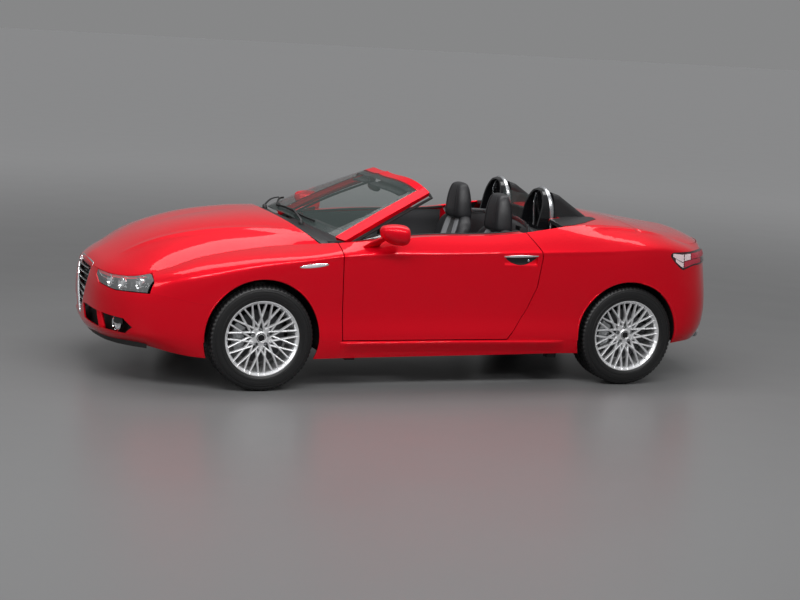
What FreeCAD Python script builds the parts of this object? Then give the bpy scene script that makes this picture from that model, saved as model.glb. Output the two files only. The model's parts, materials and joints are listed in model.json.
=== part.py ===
import FreeCAD, Part
import math
import os
from FreeCAD import Placement, Rotation, Vector

# Open two-seat touring car, in millimetres.
# The origin is on the ground under the middle of the car, with +X to the tail,
# +Y to the car's right and +Z up. Places along the car are written as stations:
# a station counts backwards from the front axle on a car with the drawn wheelbase.

SIZES = (
    ("wheelbase", 2528, "front axle to rear axle"),
    ("front_overhang", 987, "front axle to the nose"),
    ("rear_overhang", 881, "rear axle to the tail"),
    ("body_width", 1830, "over the wheel arches"),
    ("front_track", 1579, "between the front wheels' middle planes"),
    ("rear_track", 1559, "between the rear wheels' middle planes"),
    ("tyre_diameter", 668, "outside the tread"),
    ("tyre_width", 235, "over the sidewalls"),
    ("rim_radius", 238, "outside the rim's lips"),
    ("rim_width", 212, "over the rim's lips"),
    ("rim_wall", 7, "thickness of the rim's barrel"),
    ("spoke_count", 15, "forked spokes in a wheel"),
    ("spoke_width", 11, "width of one branch of a spoke"),
    ("hub_radius", 78, "radius of the wheel's hub star"),
    ("disc_radius", 165, "brake disc"),
    ("disc_thickness", 28, "brake disc"),
    ("arch_gap", 36, "tyre to the edge of the wheel arch"),
    ("liner_gap", 68, "tyre to the wheel arch liner"),
    ("panel_wall", 10, "thickness of the outer panels"),
    ("lid_wall", 22, "thickness of the bonnet and the rear lids"),
    ("panel_gap", 6, "gap round what opens"),
    ("fixed_gap", 0.3, "gap between panels that are bolted on"),
    ("floor_height", 190, "underside of the floor above the ground"),
    ("floor_wall", 12, "thickness of the floor and bulkheads"),
    ("tunnel_width", 200, "floor tunnel over its outside"),
    ("tunnel_height", 190, "floor tunnel above the floor"),
    ("sill_width", 130, "sill box"),
    ("rail_width", 70, "front and rear rails"),
    ("rail_height", 110, "front and rear rails"),
    ("engine_length", 560, "engine block"),
    ("engine_width", 620, "engine block"),
    ("engine_height", 480, "engine block"),
    ("seat_width", 500, "seat over its bolsters"),
    ("seat_spacing", 732, "between the seats' middles"),
    ("hoop_width", 300, "roll hoop over its outside"),
    ("hoop_tube", 44, "roll hoop's tube"),
    ("steering_wheel_radius", 182, "to the middle of the grip"),
    ("steering_grip_radius", 16, "grip section"),
    ("exhaust_tip_radius", 44, "outside of an exhaust tip"),
    ("mirror_width", 215, "door mirror's housing"),
)

doc = FreeCAD.newDocument("convertible_car")
sheet = doc.addObject("Spreadsheet::Sheet", "Sizes")
for row, (alias, value, note) in enumerate(SIZES, start=1):
    sheet.set("A%d" % row, note)
    sheet.set("B%d" % row, str(value))
    sheet.setAlias("B%d" % row, alias)
doc.recompute()


def size(alias):
    """The value of one driving size."""
    return float(sheet.get(alias))


DRAWN_WHEELBASE = 2528.0
DRAWN_WIDTH = 1830.0
DRAWN_FRONT_OVERHANG = 987.0
DRAWN_REAR_OVERHANG = 881.0
DOOR_STATION = 520.0
HALF_LENGTH = (size("wheelbase") + size("front_overhang") + size("rear_overhang")) / 2
FRONT_AXLE = size("front_overhang") - HALF_LENGTH
REAR_AXLE = FRONT_AXLE + size("wheelbase")
TYRE_RADIUS = size("tyre_diameter") / 2
WALL = size("panel_wall")
GAP = size("panel_gap")
SEAM = size("fixed_gap")
FLOOR = size("floor_height")
SHEET_WALL = size("floor_wall")


def along(station):
    """Place along the car of a station; the doors take up a change of wheelbase."""
    if station <= 0:
        return FRONT_AXLE + station * size("front_overhang") / DRAWN_FRONT_OVERHANG
    if station <= DOOR_STATION:
        return FRONT_AXLE + station
    if station >= DRAWN_WHEELBASE:
        reach = size("rear_overhang") / DRAWN_REAR_OVERHANG
        return REAR_AXLE + (station - DRAWN_WHEELBASE) * reach
    rear_zone = 1800.0
    if station >= rear_zone:
        return REAR_AXLE + station - DRAWN_WHEELBASE
    share = (station - DOOR_STATION) / (rear_zone - DOOR_STATION)
    start = FRONT_AXLE + DOOR_STATION
    return start + share * (REAR_AXLE + rear_zone - DRAWN_WHEELBASE - start)


def across(offset):
    """Place across the car of an offset drawn on the usual width."""
    return offset * size("body_width") / DRAWN_WIDTH


def point(station, offset, height):
    """A point on the left side of the car, its offset counted outwards."""
    return Vector(along(station), -across(offset), height)


def smooth(keys, place):
    """Value at a place of a smooth line through (place, value) keys."""
    if place <= keys[0][0]:
        return keys[0][1]
    if place >= keys[-1][0]:
        return keys[-1][1]
    index = max(i for i in range(len(keys) - 1) if keys[i][0] <= place)
    (x0, y0), (x1, y1) = keys[index], keys[index + 1]

    def slope(i):
        if i == 0 or i == len(keys) - 1:
            near = 1 if i == 0 else i
            return (keys[near][1] - keys[near - 1][1]) / (keys[near][0] - keys[near - 1][0])
        before = (keys[i][1] - keys[i - 1][1]) / (keys[i][0] - keys[i - 1][0])
        after = (keys[i + 1][1] - keys[i][1]) / (keys[i + 1][0] - keys[i][0])
        if before * after <= 0:
            return 0.0
        return 2 * before * after / (before + after)

    width = x1 - x0
    t = (place - x0) / width
    rise = (2 * t ** 3 - 3 * t ** 2 + 1) * y0 + (3 * t ** 2 - 2 * t ** 3) * y1
    turn = (t ** 3 - 2 * t ** 2 + t) * slope(index) + (t ** 3 - t ** 2) * slope(index + 1)
    return rise + width * turn


# The widest line of the body in plan, as (station, offset), from nose to tail.
PLAN = (
    (-987, 0), (-979, 200), (-948, 400), (-880, 560), (-770, 700), (-620, 806), (-450, 872), (-250, 903),
    (0, 912), (300, 908), (600, 898), (1150, 893), (1700, 897), (2100, 908), (2500, 915), (2780, 909),
    (2950, 888), (3060, 842), (3160, 755), (3240, 630), (3310, 450), (3375, 220), (3396, 0),
)

# Upright sections of the side: nine heights from the bottom edge over the sill
# crease, the hollow, the widest line, the shoulder crease and the belt to the
# top edge, and how far each lies inside the widest line in plan.
SECTIONS = {
    0: ((235, 285, 350, 470, 545, 600, 630, 665, 700), (72, 12, 2, 0, 4, 9, 13, 18, 23)),
    3: ((245, 295, 360, 470, 555, 610, 640, 658, 678), (110, 14, 2, 0, 3, 12, 18, 26, 36)),
    4: ((255, 300, 360, 470, 560, 620, 650, 672, 694), (95, 14, 2, 0, 2, 14, 24, 38, 60)),
    6: ((215, 292, 400, 500, 610, 690, 718, 772, 803), (45, 6, 4, 0, 0, 6, 14, 70, 172)),
    8: ((195, 305, 420, 560, 690, 785, 812, 852, 878), (32, 7, 22, 12, 2, 0, 10, 85, 212)),
    9: ((198, 307, 420, 560, 700, 820, 842, 876, 903), (32, 0, 22, 16, 5, 0, 8, 80, 205)),
    10: ((201, 310, 420, 560, 710, 855, 876, 905, 932), (33, -3, 24, 20, 8, 0, 7, 45, 100)),
    11: ((206, 314, 420, 560, 720, 866, 888, 935, 978), (33, -7, 25, 21, 8, 0, 8, 43, 93)),
    12: ((212, 318, 420, 560, 725, 880, 902, 950, 999), (35, -6, 25, 20, 7, 0, 8, 45, 105)),
    13: ((218, 315, 420, 560, 730, 892, 912, 985, 1052), (38, -3, 25, 16, 4, 0, 9, 60, 150)),
    14: ((225, 300, 420, 560, 730, 906, 925, 990, 1050), (36, 8, 24, 12, 2, 0, 10, 80, 210)),
    15: ((262, 310, 420, 540, 700, 915, 930, 975, 1015), (40, 12, 12, 6, 0, 0, 8, 80, 200)),
    16: ((285, 330, 420, 520, 650, 880, 905, 945, 975), (45, 14, 4, 0, 4, 20, 32, 80, 190)),
    18: ((290, 340, 420, 515, 630, 800, 860, 905, 935), (60, 20, 4, 0, 8, 28, 40, 70, 130)),
    20: ((290, 340, 420, 515, 625, 760, 830, 880, 925), (70, 25, 6, 0, 10, 26, 26, 30, 60)),
    22: ((290, 340, 420, 515, 625, 745, 805, 862, 915), (75, 30, 8, 0, 10, 16, 6, -14, 12)),
}
ROWS = 9
EDGE_ROW = ROWS - 1


def plan_lengths():
    """Length along the widest line up to each of its points."""
    lengths = [0.0]
    for before, after in zip(PLAN, PLAN[1:]):
        lengths.append(lengths[-1] + math.hypot(after[0] - before[0], after[1] - before[1]))
    return lengths


LENGTHS = plan_lengths()


def symmetric_curve(points):
    """A smooth curve from the nose to the tail that leaves the middle line squarely."""
    ahead = Vector(points[1].x, -points[1].y, points[1].z)
    behind = Vector(points[-2].x, -points[-2].y, points[-2].z)
    places = [-LENGTHS[1]] + LENGTHS + [2 * LENGTHS[-1] - LENGTHS[-2]]
    curve = Part.BSplineCurve()
    curve.interpolate(Points=[ahead] + points + [behind], Parameters=places)
    curve.segment(LENGTHS[0], LENGTHS[-1])
    return curve


PLAN_CURVE = symmetric_curve([Vector(s, o, 0) for s, o in PLAN])


def section_value(row, place, kind):
    keys = [(LENGTHS[i], SECTIONS[i][kind][row]) for i in sorted(SECTIONS)]
    return smooth(keys, place)


def skin_row(row):
    """Points of one row of the side, from the middle of the nose to the middle of the tail."""
    points = []
    for place in LENGTHS:
        base = PLAN_CURVE.value(place)
        run = PLAN_CURVE.tangent(place)[0]
        inset = section_value(row, place, 1)
        station = base.x - inset * -run.y
        offset = base.y - inset * run.x
        points.append(Vector(station, offset, section_value(row, place, 0)))
    points[0].y = 0
    points[-1].y = 0
    return [point(p.x, p.y, p.z) for p in points]


def surface_from_rows(rows):
    """One smooth surface through curves that share their places along the side."""
    nets = [curve.getPoles() for curve in rows]
    poles = [[net[i] for net in nets] for i in range(len(nets[0]))]
    spans = len(rows) - 3
    surface = Part.BSplineSurface()
    surface.buildFromPolesMultsKnots(
        poles, rows[0].getMultiplicities(), [4] + [1] * (spans - 1) + [4],
        rows[0].getKnots(), [float(k) for k in range(spans + 1)], False, False, 3, 3)
    return surface


SKIN_ROWS = [symmetric_curve(skin_row(row)) for row in range(ROWS)]
EDGE = SKIN_ROWS[EDGE_ROW]


def moved_rows(depth):
    """The side's net moved inwards, square to itself, by a depth."""
    nets = [curve.getPoles() for curve in SKIN_ROWS]
    moved = []
    for k, net in enumerate(nets):
        row = []
        for i, pole in enumerate(net):
            lengthwise = net[min(i + 1, len(net) - 1)] - net[max(i - 1, 0)]
            upwards = nets[min(k + 1, ROWS - 1)][i] - nets[max(k - 1, 0)][i]
            inward = upwards.cross(lengthwise)
            if i in (0, 1, len(net) - 2, len(net) - 1):
                inward.y = 0
            inward.normalize()
            row.append(pole + inward * depth)
        moved.append(row)
    return moved


def curve_like(model, poles):
    curve = Part.BSplineCurve()
    curve.buildFromPolesMultsKnots(poles, model.getMultiplicities(), model.getKnots(), False, 3)
    return curve


def skin_surface(depth):
    return surface_from_rows([curve_like(EDGE, row) for row in moved_rows(depth)])


def closed_between(outer, inner):
    """The solid between two like surfaces, closed by ruled sides."""
    faces = [outer.toShape(), inner.toShape()]
    u0, u1, v0, v1 = outer.bounds()
    for place in (u0, u1):
        faces.append(Part.makeRuledSurface(outer.uIso(place).toShape(), inner.uIso(place).toShape()))
    for place in (v0, v1):
        faces.append(Part.makeRuledSurface(outer.vIso(place).toShape(), inner.vIso(place).toShape()))
    shell = Part.makeShell([face for shape in faces for face in shape.Faces])
    shell.sewShape()
    solid = Part.makeSolid(Part.Shell(shell.Faces))
    if solid.Volume < 0:
        solid.reverse()
    return solid


def side_wall(depth):
    """The left outer wall of the body, of one thickness."""
    return closed_between(skin_surface(0), skin_surface(depth))


def interior(depth):
    """All that lies inside the left skin, from a depth inwards to near the middle."""
    surface = skin_surface(depth)
    rows = []
    for curve in [curve_like(EDGE, row) for row in moved_rows(depth)]:
        poles = []
        for pole in curve.getPoles():
            x = min(max(pole.x, along(-700)), along(3050))
            poles.append(Vector(x, 60, pole.z))
        rows.append(curve_like(EDGE, poles))
    return closed_between(surface, surface_from_rows(rows))


def side_prism(outline, inner=0, outer=1200):
    """A prism across the left half from an outline of (station, height) points."""
    wire = Part.makePolygon([Vector(along(s), -inner, z) for s, z in outline + outline[:1]])
    return Part.Face(wire).extrude(Vector(0, inner - outer, 0))


def front_prism(outline, start, end):
    """A prism along the car from an outline of (offset, height) points."""
    wire = Part.makePolygon([Vector(along(start), -across(o), z) for o, z in outline + outline[:1]])
    return Part.Face(wire).extrude(Vector(along(end) - along(start), 0, 0))


def rounded(shape, radius, pick=None):
    edges = [edge for edge in shape.Edges if pick is None or pick(edge)]
    return shape.makeFillet(radius, edges)


def block(x0, x1, y0, y1, z0, z1):
    return Part.makeBox(x1 - x0, y1 - y0, z1 - z0, Vector(x0, y0, z0))


def mirrored(shape):
    return shape.mirror(Vector(0, 0, 0), Vector(0, 1, 0))


def tube_between(start, end, radius):
    return Part.makeCylinder(radius, (end - start).Length, start, end - start)


def slab(place_at, depth, steps_u=10, steps_v=8, straight_down=False):
    """A sheet of one thickness under a surface given as a function of two shares."""
    top = [[place_at(i / steps_u, j / steps_v) for j in range(steps_v + 1)] for i in range(steps_u + 1)]
    for line in top:
        if abs(line[0].y) < 0.5:
            line[0].y = 0

    def inward(i, j):
        if straight_down:
            return Vector(0, 0, -1)
        lengthwise = top[min(i + 1, steps_u)][j] - top[max(i - 1, 0)][j]
        sideways = top[i][min(j + 1, steps_v)] - top[i][max(j - 1, 0)]
        normal = lengthwise.cross(sideways)
        if j == 0:
            normal.y = 0
        normal.normalize()
        return normal

    bottom = [[top[i][j] + inward(i, j) * depth for j in range(steps_v + 1)] for i in range(steps_u + 1)]
    outer = Part.BSplineSurface()
    outer.interpolate(top)
    inner = Part.BSplineSurface()
    inner.interpolate(bottom)
    solid = closed_between(outer, inner)
    return solid


def coons(front, rear, middle, side, lift=None):
    """A patch on four edges; u runs from front to rear and v from the middle outwards."""
    def place_at(u, v):
        ends = front(v) * (1 - u) + rear(v) * u
        lines = middle(u) * (1 - v) + side(u) * v
        corners = ((front(0) * (1 - v) + front(1) * v) * (1 - u)
                   + (rear(0) * (1 - v) + rear(1) * v) * u)
        raised = ends + lines - corners
        if lift:
            raised.z += lift(u, v)
        return raised
    return place_at


def share_of(curve_points):
    """A smooth curve through points, as a function of a share from 0 to 1."""
    curve = Part.BSplineCurve()
    curve.interpolate(curve_points)
    first, last = curve.FirstParameter, curve.LastParameter
    return lambda share: curve.value(first + (last - first) * share)


def edge_part(start, end, inset):
    """A part of the top edge, moved inboard by an inset."""
    def place_at(share):
        place = start + (end - start) * share
        spot = EDGE.value(place)
        run = EDGE.tangent(place)[0]
        run.z = 0
        run.normalize()
        return spot + Vector(run.y, -run.x, 0) * -inset
    return place_at


parts = {}


def add(name, shape):
    """Keep a shape as a sub-part of the document under its own name."""
    if name in parts:
        raise ValueError(name)
    feature = doc.addObject("Part::Feature", name)
    feature.Label = name
    feature.Shape = shape
    parts[name] = feature
    return feature


def keep(feature, name):
    feature.Label = name
    parts[name] = feature
    return feature


def both_sides(name, shape):
    add(name + "_left", shape)
    add(name + "_right", mirrored(shape))


def as_pair(name, shape):
    """Like pieces of both sides as one sub-part of separate solids."""
    add(name, Part.makeCompound(shape.Solids + mirrored(shape).Solids))


def one_solid(shape):
    """The shape as a clean solid or compound of solids."""
    cleaned = shape.removeSplitter()
    solids = [solid for solid in cleaned.Solids if solid.Volume > 500]
    return solids[0] if len(solids) == 1 else Part.makeCompound(solids)


# Bonnet and rear deck are patches that share the side's top edge.
def station_place(station):
    """Place along the plan line of a station behind the front corner."""
    index = max(i for i in range(4, 17) if PLAN[i][0] <= station)
    (s0, _), (s1, _) = PLAN[index], PLAN[index + 1]
    return LENGTHS[index] + (LENGTHS[index + 1] - LENGTHS[index]) * (station - s0) / (s1 - s0)


FRONT_CORNER = (LENGTHS[4] + LENGTHS[5]) / 2
BONNET_END = station_place(392)
BONNET_MIDDLE = ((-900, 752), (-809, 809), (-655, 893), (-497, 952), (-340, 992), (-178, 1020), (-14, 1042),
                 (175, 1058))
BONNET_REAR = ((175, 0, 1058), (200, 250, 1046), (270, 500, 1005))
BONNET_RISE = 34
DECK_FRONT = 2060.0
LID_LINE = 2620.0
DECK_FRONT_RISE = ((0, 1085), (350, 1080))
DECK_MIDDLE = ((2060, 1085), (2442, 1100), (2650, 1063), (2795, 1038), (3107, 1002), (3266, 970))
DECK_EDGE_START = station_place(DECK_FRONT)
TAIL_END = LENGTHS[-1]
TAIL_CORNER = LENGTHS[18]
LID_WALL = size("lid_wall")


def bonnet_lift(u, v):
    """The bonnet stands up between the creases that run back from the grille."""
    return BONNET_RISE * math.sin(math.pi * u) ** 0.8 * max(0.0, 4 * v * (1 - v)) ** 1.2


def bonnet_patch(inset):
    front = edge_part(0, FRONT_CORNER, inset)
    side = edge_part(FRONT_CORNER, BONNET_END, inset)
    middle = share_of([front(0)] + [point(s, 0, z) for s, z in BONNET_MIDDLE])
    rear = share_of([point(*spot) for spot in BONNET_REAR] + [side(1)])
    return coons(front, rear, middle, side, bonnet_lift)


def deck_patch(inset, ahead=0):
    """The rear deck, which may start a little ahead of its front edge."""
    side = edge_part(DECK_EDGE_START - ahead, TAIL_CORNER, inset)
    tail = edge_part(TAIL_END, TAIL_CORNER, inset)
    rise = [point(DECK_FRONT - ahead, offset, height) for offset, height in DECK_FRONT_RISE]
    front = share_of(rise + [side(0)])
    middle = share_of([front(0)] + [point(s, 0, z) for s, z in DECK_MIDDLE[1:]] + [tail(0)])
    return coons(front, tail, middle, side)


def split_patch(patch, x, gap):
    """The patch ahead of and behind a straight shut line across the car."""
    def share_at(place, v):
        low, high = 0.0, 1.0
        for _ in range(30):
            trial = (low + high) / 2
            if patch(trial, v).x < place:
                low = trial
            else:
                high = trial
        return low

    def ahead(u, v):
        return patch(u * share_at(x - gap / 2, v), v)

    def behind(u, v):
        start = share_at(x + gap / 2, v)
        return patch(start + u * (1 - start), v)

    return ahead, behind


def raised(patch, rise):
    def place_at(u, v):
        return patch(u, v) + Vector(0, 0, rise)
    return place_at


def lid_half(patch):
    return slab(patch, LID_WALL, straight_down=True)


def lid_room(patch):
    """The space that a lid and the gap under it need in the pieces round it."""
    half = slab(raised(patch, GAP), LID_WALL + 3 * GAP, straight_down=True)
    return half.fuse(mirrored(half))


def above_lid(patch):
    """All that lies over a closed lid's underside, so that a buffer cut by it carries the lid."""
    half = slab(raised(patch, 300), LID_WALL + 300 + SEAM, straight_down=True)
    return half.fuse(mirrored(half))


bonnet_room = lid_room(bonnet_patch(0.5))
deck_room = lid_room(deck_patch(0.5, GAP))


tonneau_patch, boot_patch = split_patch(deck_patch(GAP), along(LID_LINE), GAP)
LID_PATCHES = {"bonnet": bonnet_patch(GAP), "tonneau_cover": tonneau_patch, "boot_lid": boot_patch}
HOOP_FOOT = 960
HOOP_FRONT = ((1971, 960), (2036, 1250))
HOOP_REAR = ((2078, 1280), (2123, 1026), (2123, 960))
HOOP_TOP = 1266
HOOP_SHELL = 16
HOOP_START = 1900
HOOP_END = HOOP_REAR[1][0]
HOOP_BASE = HOOP_FOOT + 20


def hoop_arch(inset, start, end):
    """The room under an arch round one seat's hoop, as a prism along the car."""
    middle = size("seat_spacing") / 2
    half = size("hoop_width") / 2 - inset
    crown = HOOP_TOP - inset
    y0, y1 = -middle - half, -middle + half
    low = HOOP_BASE
    corners = [Vector(along(start), y, z) for y, z in ((y0, low), (y0, crown - half), (-middle, crown),
                                                      (y1, crown - half), (y1, low))]
    wire = Part.Wire([Part.LineSegment(corners[0], corners[1]).toShape(),
                      Part.Arc(corners[1], corners[2], corners[3]).toShape(),
                      Part.LineSegment(corners[3], corners[4]).toShape(),
                      Part.LineSegment(corners[4], corners[0]).toShape()])
    return Part.Face(wire).extrude(Vector(along(end) - along(start), 0, 0))


def build_lids():
    for name, patch in LID_PATCHES.items():
        half = lid_half(patch)
        lid = half.fuse(mirrored(half))
        if name == "tonneau_cover":
            room = hoop_arch(-GAP, HOOP_START, HOOP_END + GAP)
            lid = lid.cut(room).cut(mirrored(room))
        add(name, one_solid(lid))


build_lids()


# Outer panels of the left side, cut from one wall.
def arch_cutter(axle, gap, inner, outer):
    radius = TYRE_RADIUS + gap
    x = FRONT_AXLE if axle == "front" else REAR_AXLE - 10
    return Part.makeCylinder(radius, outer - inner, Vector(x, -outer, TYRE_RADIUS + 6), Vector(0, 1, 0))


DOOR_FRONT = ((503, 936), (527, 312))
DOOR_REAR = ((1768, 1060), (1779, 1007), (1855, 900), (1864, 863), (1839, 660), (1781, 520), (1697, 381),
             (1650, 320))
DOOR_BOTTOM = 320
SILL_TOP = DOOR_BOTTOM - GAP


def door_front(height):
    (s0, z0), (s1, z1) = DOOR_FRONT
    return s0 + (s1 - s0) * (height - z0) / (z1 - z0)


DOOR_TOP = 1100
DOOR_TOP_REAR = 1768


def door_outline(gap):
    """Side view of the door, or of its opening with a gap round it."""
    rear = [(s + gap, z) for s, z in DOOR_REAR]
    bottom = DOOR_BOTTOM - gap
    rear[-1] = (rear[-1][0], bottom)
    front = [(door_front(DOOR_TOP) - gap, DOOR_TOP), (door_front(bottom) - gap, bottom)]
    return front + rear[::-1] + [(DOOR_TOP_REAR + gap, DOOR_TOP)]


wall = side_wall(WALL)
inside = interior(WALL + SEAM)
front_arch = arch_cutter("front", size("arch_gap"), 500, 1200)
rear_arch = arch_cutter("rear", size("arch_gap") - 6, 500, 1200)
door_gap = side_prism(door_outline(GAP))



def bumper_region(shrink):
    return side_prism([(-1300, 100), (-250, 100), (-250, 530 - shrink), (-330, 540 - shrink),
                       (-700, 600 - shrink), (-760 - shrink, 800), (-1300, 800)], -20)


def lamp_region(shrink):
    """Front view of the lamp opening under the bonnet's edge."""
    outline = [(330 + shrink, 740), (330 + shrink, 652 + shrink), (400, 606 + shrink), (560, 584 + shrink),
               (760, 592 + shrink), (760, 740)]
    return front_prism(outline, -1100, -660 - shrink)


def grille_region(shrink):
    """Front view of the pointed shield between the lamps."""
    outline = [(-10, 740), (-10, 340 + shrink), (40 - shrink, 352 + shrink), (150 - shrink, 520),
               (205 - shrink, 640), (215 - shrink, 740)]
    return front_prism(outline, -1100, -800)


def intake_region(shrink):
    """Front view of the low air intake and the fog lamp's place."""
    outline = [(120 + shrink, 430 - shrink), (200, 440 - shrink), (400, 432 - shrink),
               (640 - shrink, 420 - shrink), (690 - shrink, 372), (640 - shrink, 325 + shrink),
               (400, 330 + shrink), (150 + shrink, 340 + shrink)]
    return front_prism(outline, -1100, -640)


FENDER_END = 560


def build_side_panels():
    front_zone = side_prism([(-1300, 100), (FENDER_END, 100), (FENDER_END, DOOR_TOP), (-1300, DOOR_TOP)], -20)
    nose = wall.common(bumper_region(SEAM))
    for region in (lamp_region(0), grille_region(0), intake_region(0), front_arch):
        nose = nose.cut(region)
    nose = nose.fuse(mirrored(nose)).cut(bonnet_room).cut(plate_holes(-1100, FRONT_PLATE_HEIGHT))
    add("front_bumper", one_solid(nose))

    fender = wall.common(front_zone)
    sill_zone = side_prism([(0, 50), (5000, 50), (5000, SILL_TOP), (0, SILL_TOP)])
    for region in (bumper_region(0), lamp_region(0), grille_region(0), front_arch, sill_zone, door_gap):
        fender = fender.cut(region)
    as_pair("front_fenders", one_solid(fender.cut(bonnet_room)))

    skirt = wall.common(side_prism([(200, 50), (2300, 50), (2300, SILL_TOP - SEAM), (200, SILL_TOP - SEAM)]))
    skirt = skirt.cut(front_arch).cut(rear_arch)
    as_pair("side_skirts", one_solid(skirt))

    rear_line = [(1640, SILL_TOP), (4000, SILL_TOP), (4000, 560), (2800, 560), (2930, 770), (2835, 900),
                 (2835, 1300), (1640, 1300)]
    quarter = wall.common(side_prism(rear_line, -20))
    quarter = quarter.cut(door_gap).cut(rear_arch)
    quarter = quarter.cut(side_prism([(2400, 50), (4000, 50), (4000, 560), (2400, 560)]))
    quarter = quarter.cut(tail_lamp_region(0)).cut(deck_room)
    as_pair("quarter_panels", one_solid(quarter))


PLATE_HOLE_SPACING = 260
PLATE_HOLE_RADIUS = 3.5
FRONT_PLATE_HEIGHT = 300
REAR_PLATE_HEIGHT = 640


def plate_holes(station, height):
    """Two holes along the car that take a number plate's screws."""
    left = Part.makeCylinder(PLATE_HOLE_RADIUS, 500, Vector(along(station), -PLATE_HOLE_SPACING / 2, height),
                             Vector(1, 0, 0))
    return left.fuse(mirrored(left))


BUMPER_LINE = 560.0
EXHAUST_HALF = 500.0


def tail_lamp_region(shrink):
    outline = [(2835 + shrink, 887 - shrink), (2930 + shrink, 772 + shrink), (3070, 790 + shrink),
               (3260 - shrink, 800 + shrink), (3260 - shrink, 893 - shrink)]
    return side_prism(outline, 300)


def build_tail():
    line = BUMPER_LINE - SEAM
    low = wall.common(side_prism([(2300, 100), (4000, 100), (4000, line), (2300, line)], -20))
    high = wall.common(side_prism([(2800 + SEAM, line), (4000, line), (4000, 1300), (2835 + SEAM, 1300),
                                   (2835 + SEAM, 900), (2930 + SEAM, 770)], -20))
    whole = low.fuse(high).cut(rear_arch).cut(tail_lamp_region(0))
    whole = whole.fuse(mirrored(whole)).cut(deck_room).cut(plate_holes(3100, REAR_PLATE_HEIGHT))
    notch = block(along(2900), along(3600), -across(EXHAUST_HALF), across(EXHAUST_HALF), 200, 350)
    add("rear_bumper", one_solid(whole.cut(notch)))
    deep = side_wall(WALL * 4)
    lamp = deep.common(tail_lamp_region(SEAM)).cut(deck_room)
    as_pair("tail_lamps", one_solid(lamp))


def build_front_face():
    deep = side_wall(WALL * 5)
    lamp = deep.common(lamp_region(SEAM)).cut(bonnet_room)
    as_pair("headlamps", one_solid(lamp))
    shield = deep.common(grille_region(SEAM))
    hollow = deep.common(grille_region(26))
    grille = shield.cut(hollow)
    for index in range(7):
        bar = block(along(-1100), along(-800), -230, 10, 372 + 42 * index, 384 + 42 * index)
        grille = grille.fuse(skin_band().common(bar).common(grille_region(20)))
    add("grille", one_solid(grille.fuse(mirrored(grille)).cut(bonnet_room)))


def skin_band():
    return closed_between(skin_surface(14), skin_surface(34))


build_side_panels()
build_tail()
build_front_face()


# Doors: the whole thickness from the outer skin to the trim.
DOOR_TRIM_TOP = 700
DOOR_TRIM_LOW = 768
DOOR_SKIN = 24
HANDLE_SKIN = 893
HANDLE_RADIUS = 40
DOOR_STEP = 16


HANDLE_ENDS = (1598, 1828)
HANDLE_HEIGHT = 832
HANDLE_DEPTH = 11
DOOR_DEEP = 230


def build_doors():
    moved = [[pole + Vector(0, across(DOOR_DEEP), 0) for pole in curve.getPoles()] for curve in SKIN_ROWS]
    deep = closed_between(skin_surface(0), surface_from_rows([curve_like(EDGE, poles) for poles in moved]))
    outline = [(DOOR_TRIM_TOP, 1100), (1000, 1100), (1000, DOOR_BOTTOM), (DOOR_TRIM_LOW, DOOR_BOTTOM),
               (DOOR_TRIM_LOW, 420)]
    zone = front_prism(outline, 300, 2000)
    skin = side_wall(DOOR_SKIN).common(side_prism(door_outline(0))).common(zone)
    core = deep.common(side_prism(door_outline(-DOOR_STEP))).common(zone)
    door = skin.fuse(core)
    pillar_room = block(along(400), along(690), -across(764), 0, 880, 1100)
    pocket_start, pocket_end = (along(station) for station in HANDLE_ENDS)
    pocket_line = Vector(pocket_start, HANDLE_DEPTH - across(HANDLE_SKIN) - HANDLE_RADIUS, HANDLE_HEIGHT)
    pocket = Part.makeCylinder(HANDLE_RADIUS, pocket_end - pocket_start, pocket_line, Vector(1, 0, 0))
    both_sides("door", one_solid(door.cut(pillar_room).cut(pocket)))


build_doors()


# Windscreen: one bent surface that holds the glass and its frame.
SCREEN_BASE = [point(270, 0, 1040), point(330, 350, 1020), point(450, 600, 970), point(552, 752, 935)]
SCREEN_TOP = [point(1075, 0, 1316), point(1085, 250, 1310), point(1120, 470, 1290), point(1165, 585, 1236)]
GLASS_SIDE = 0.9
GLASS_TOP = 0.92
screen_base = share_of(SCREEN_BASE)
screen_top = share_of(SCREEN_TOP)
screen_middle = share_of([point(270, 0, 1040), point(660, 0, 1200), point(1075, 0, 1316)])
screen_side = share_of([point(552, 752, 935), point(863, 690, 1098), point(1165, 585, 1236)])
screen = coons(screen_base, screen_top, screen_middle, screen_side)


def build_windscreen():
    pane = slab(lambda u, v: screen(0.01 + u * (GLASS_TOP - 0.0104), v * (GLASS_SIDE - 0.0004)), 5)
    add("windscreen", one_solid(pane.fuse(mirrored(pane))))
    pillar = slab(lambda u, v: screen(u, GLASS_SIDE + v * (1 - GLASS_SIDE)), 34, 10, 3)
    header = slab(lambda u, v: screen(GLASS_TOP + u * (1 - GLASS_TOP), v * 0.95), 30, 3, 8)
    frame = pillar.fuse(header)
    add("windscreen_frame", one_solid(frame.fuse(mirrored(frame))))


build_windscreen()


COWL_END = station_place(490)


def build_cowl():
    side = edge_part(BONNET_END + 14, COWL_END, 2)
    middle = share_of([point(191, 0, 1045), point(222, 0, 1037), point(262, 0, 1030)])
    start = share_of([middle(0), point(218, 250, 1033), point(288, 500, 992), side(0)])
    end = share_of([middle(1), point(325, 350, 1008), point(440, 600, 955), side(1)])
    half = slab(coons(start, end, middle, side), 8, 6, 8).cut(parts["front_fenders"].Shape)
    add("cowl", one_solid(half.fuse(mirrored(half))))


build_cowl()


# The floor, tunnel, sills, bulkheads and rails as one pressed structure.
SILL_OUT = 870
KERB_RISE = 40


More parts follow.
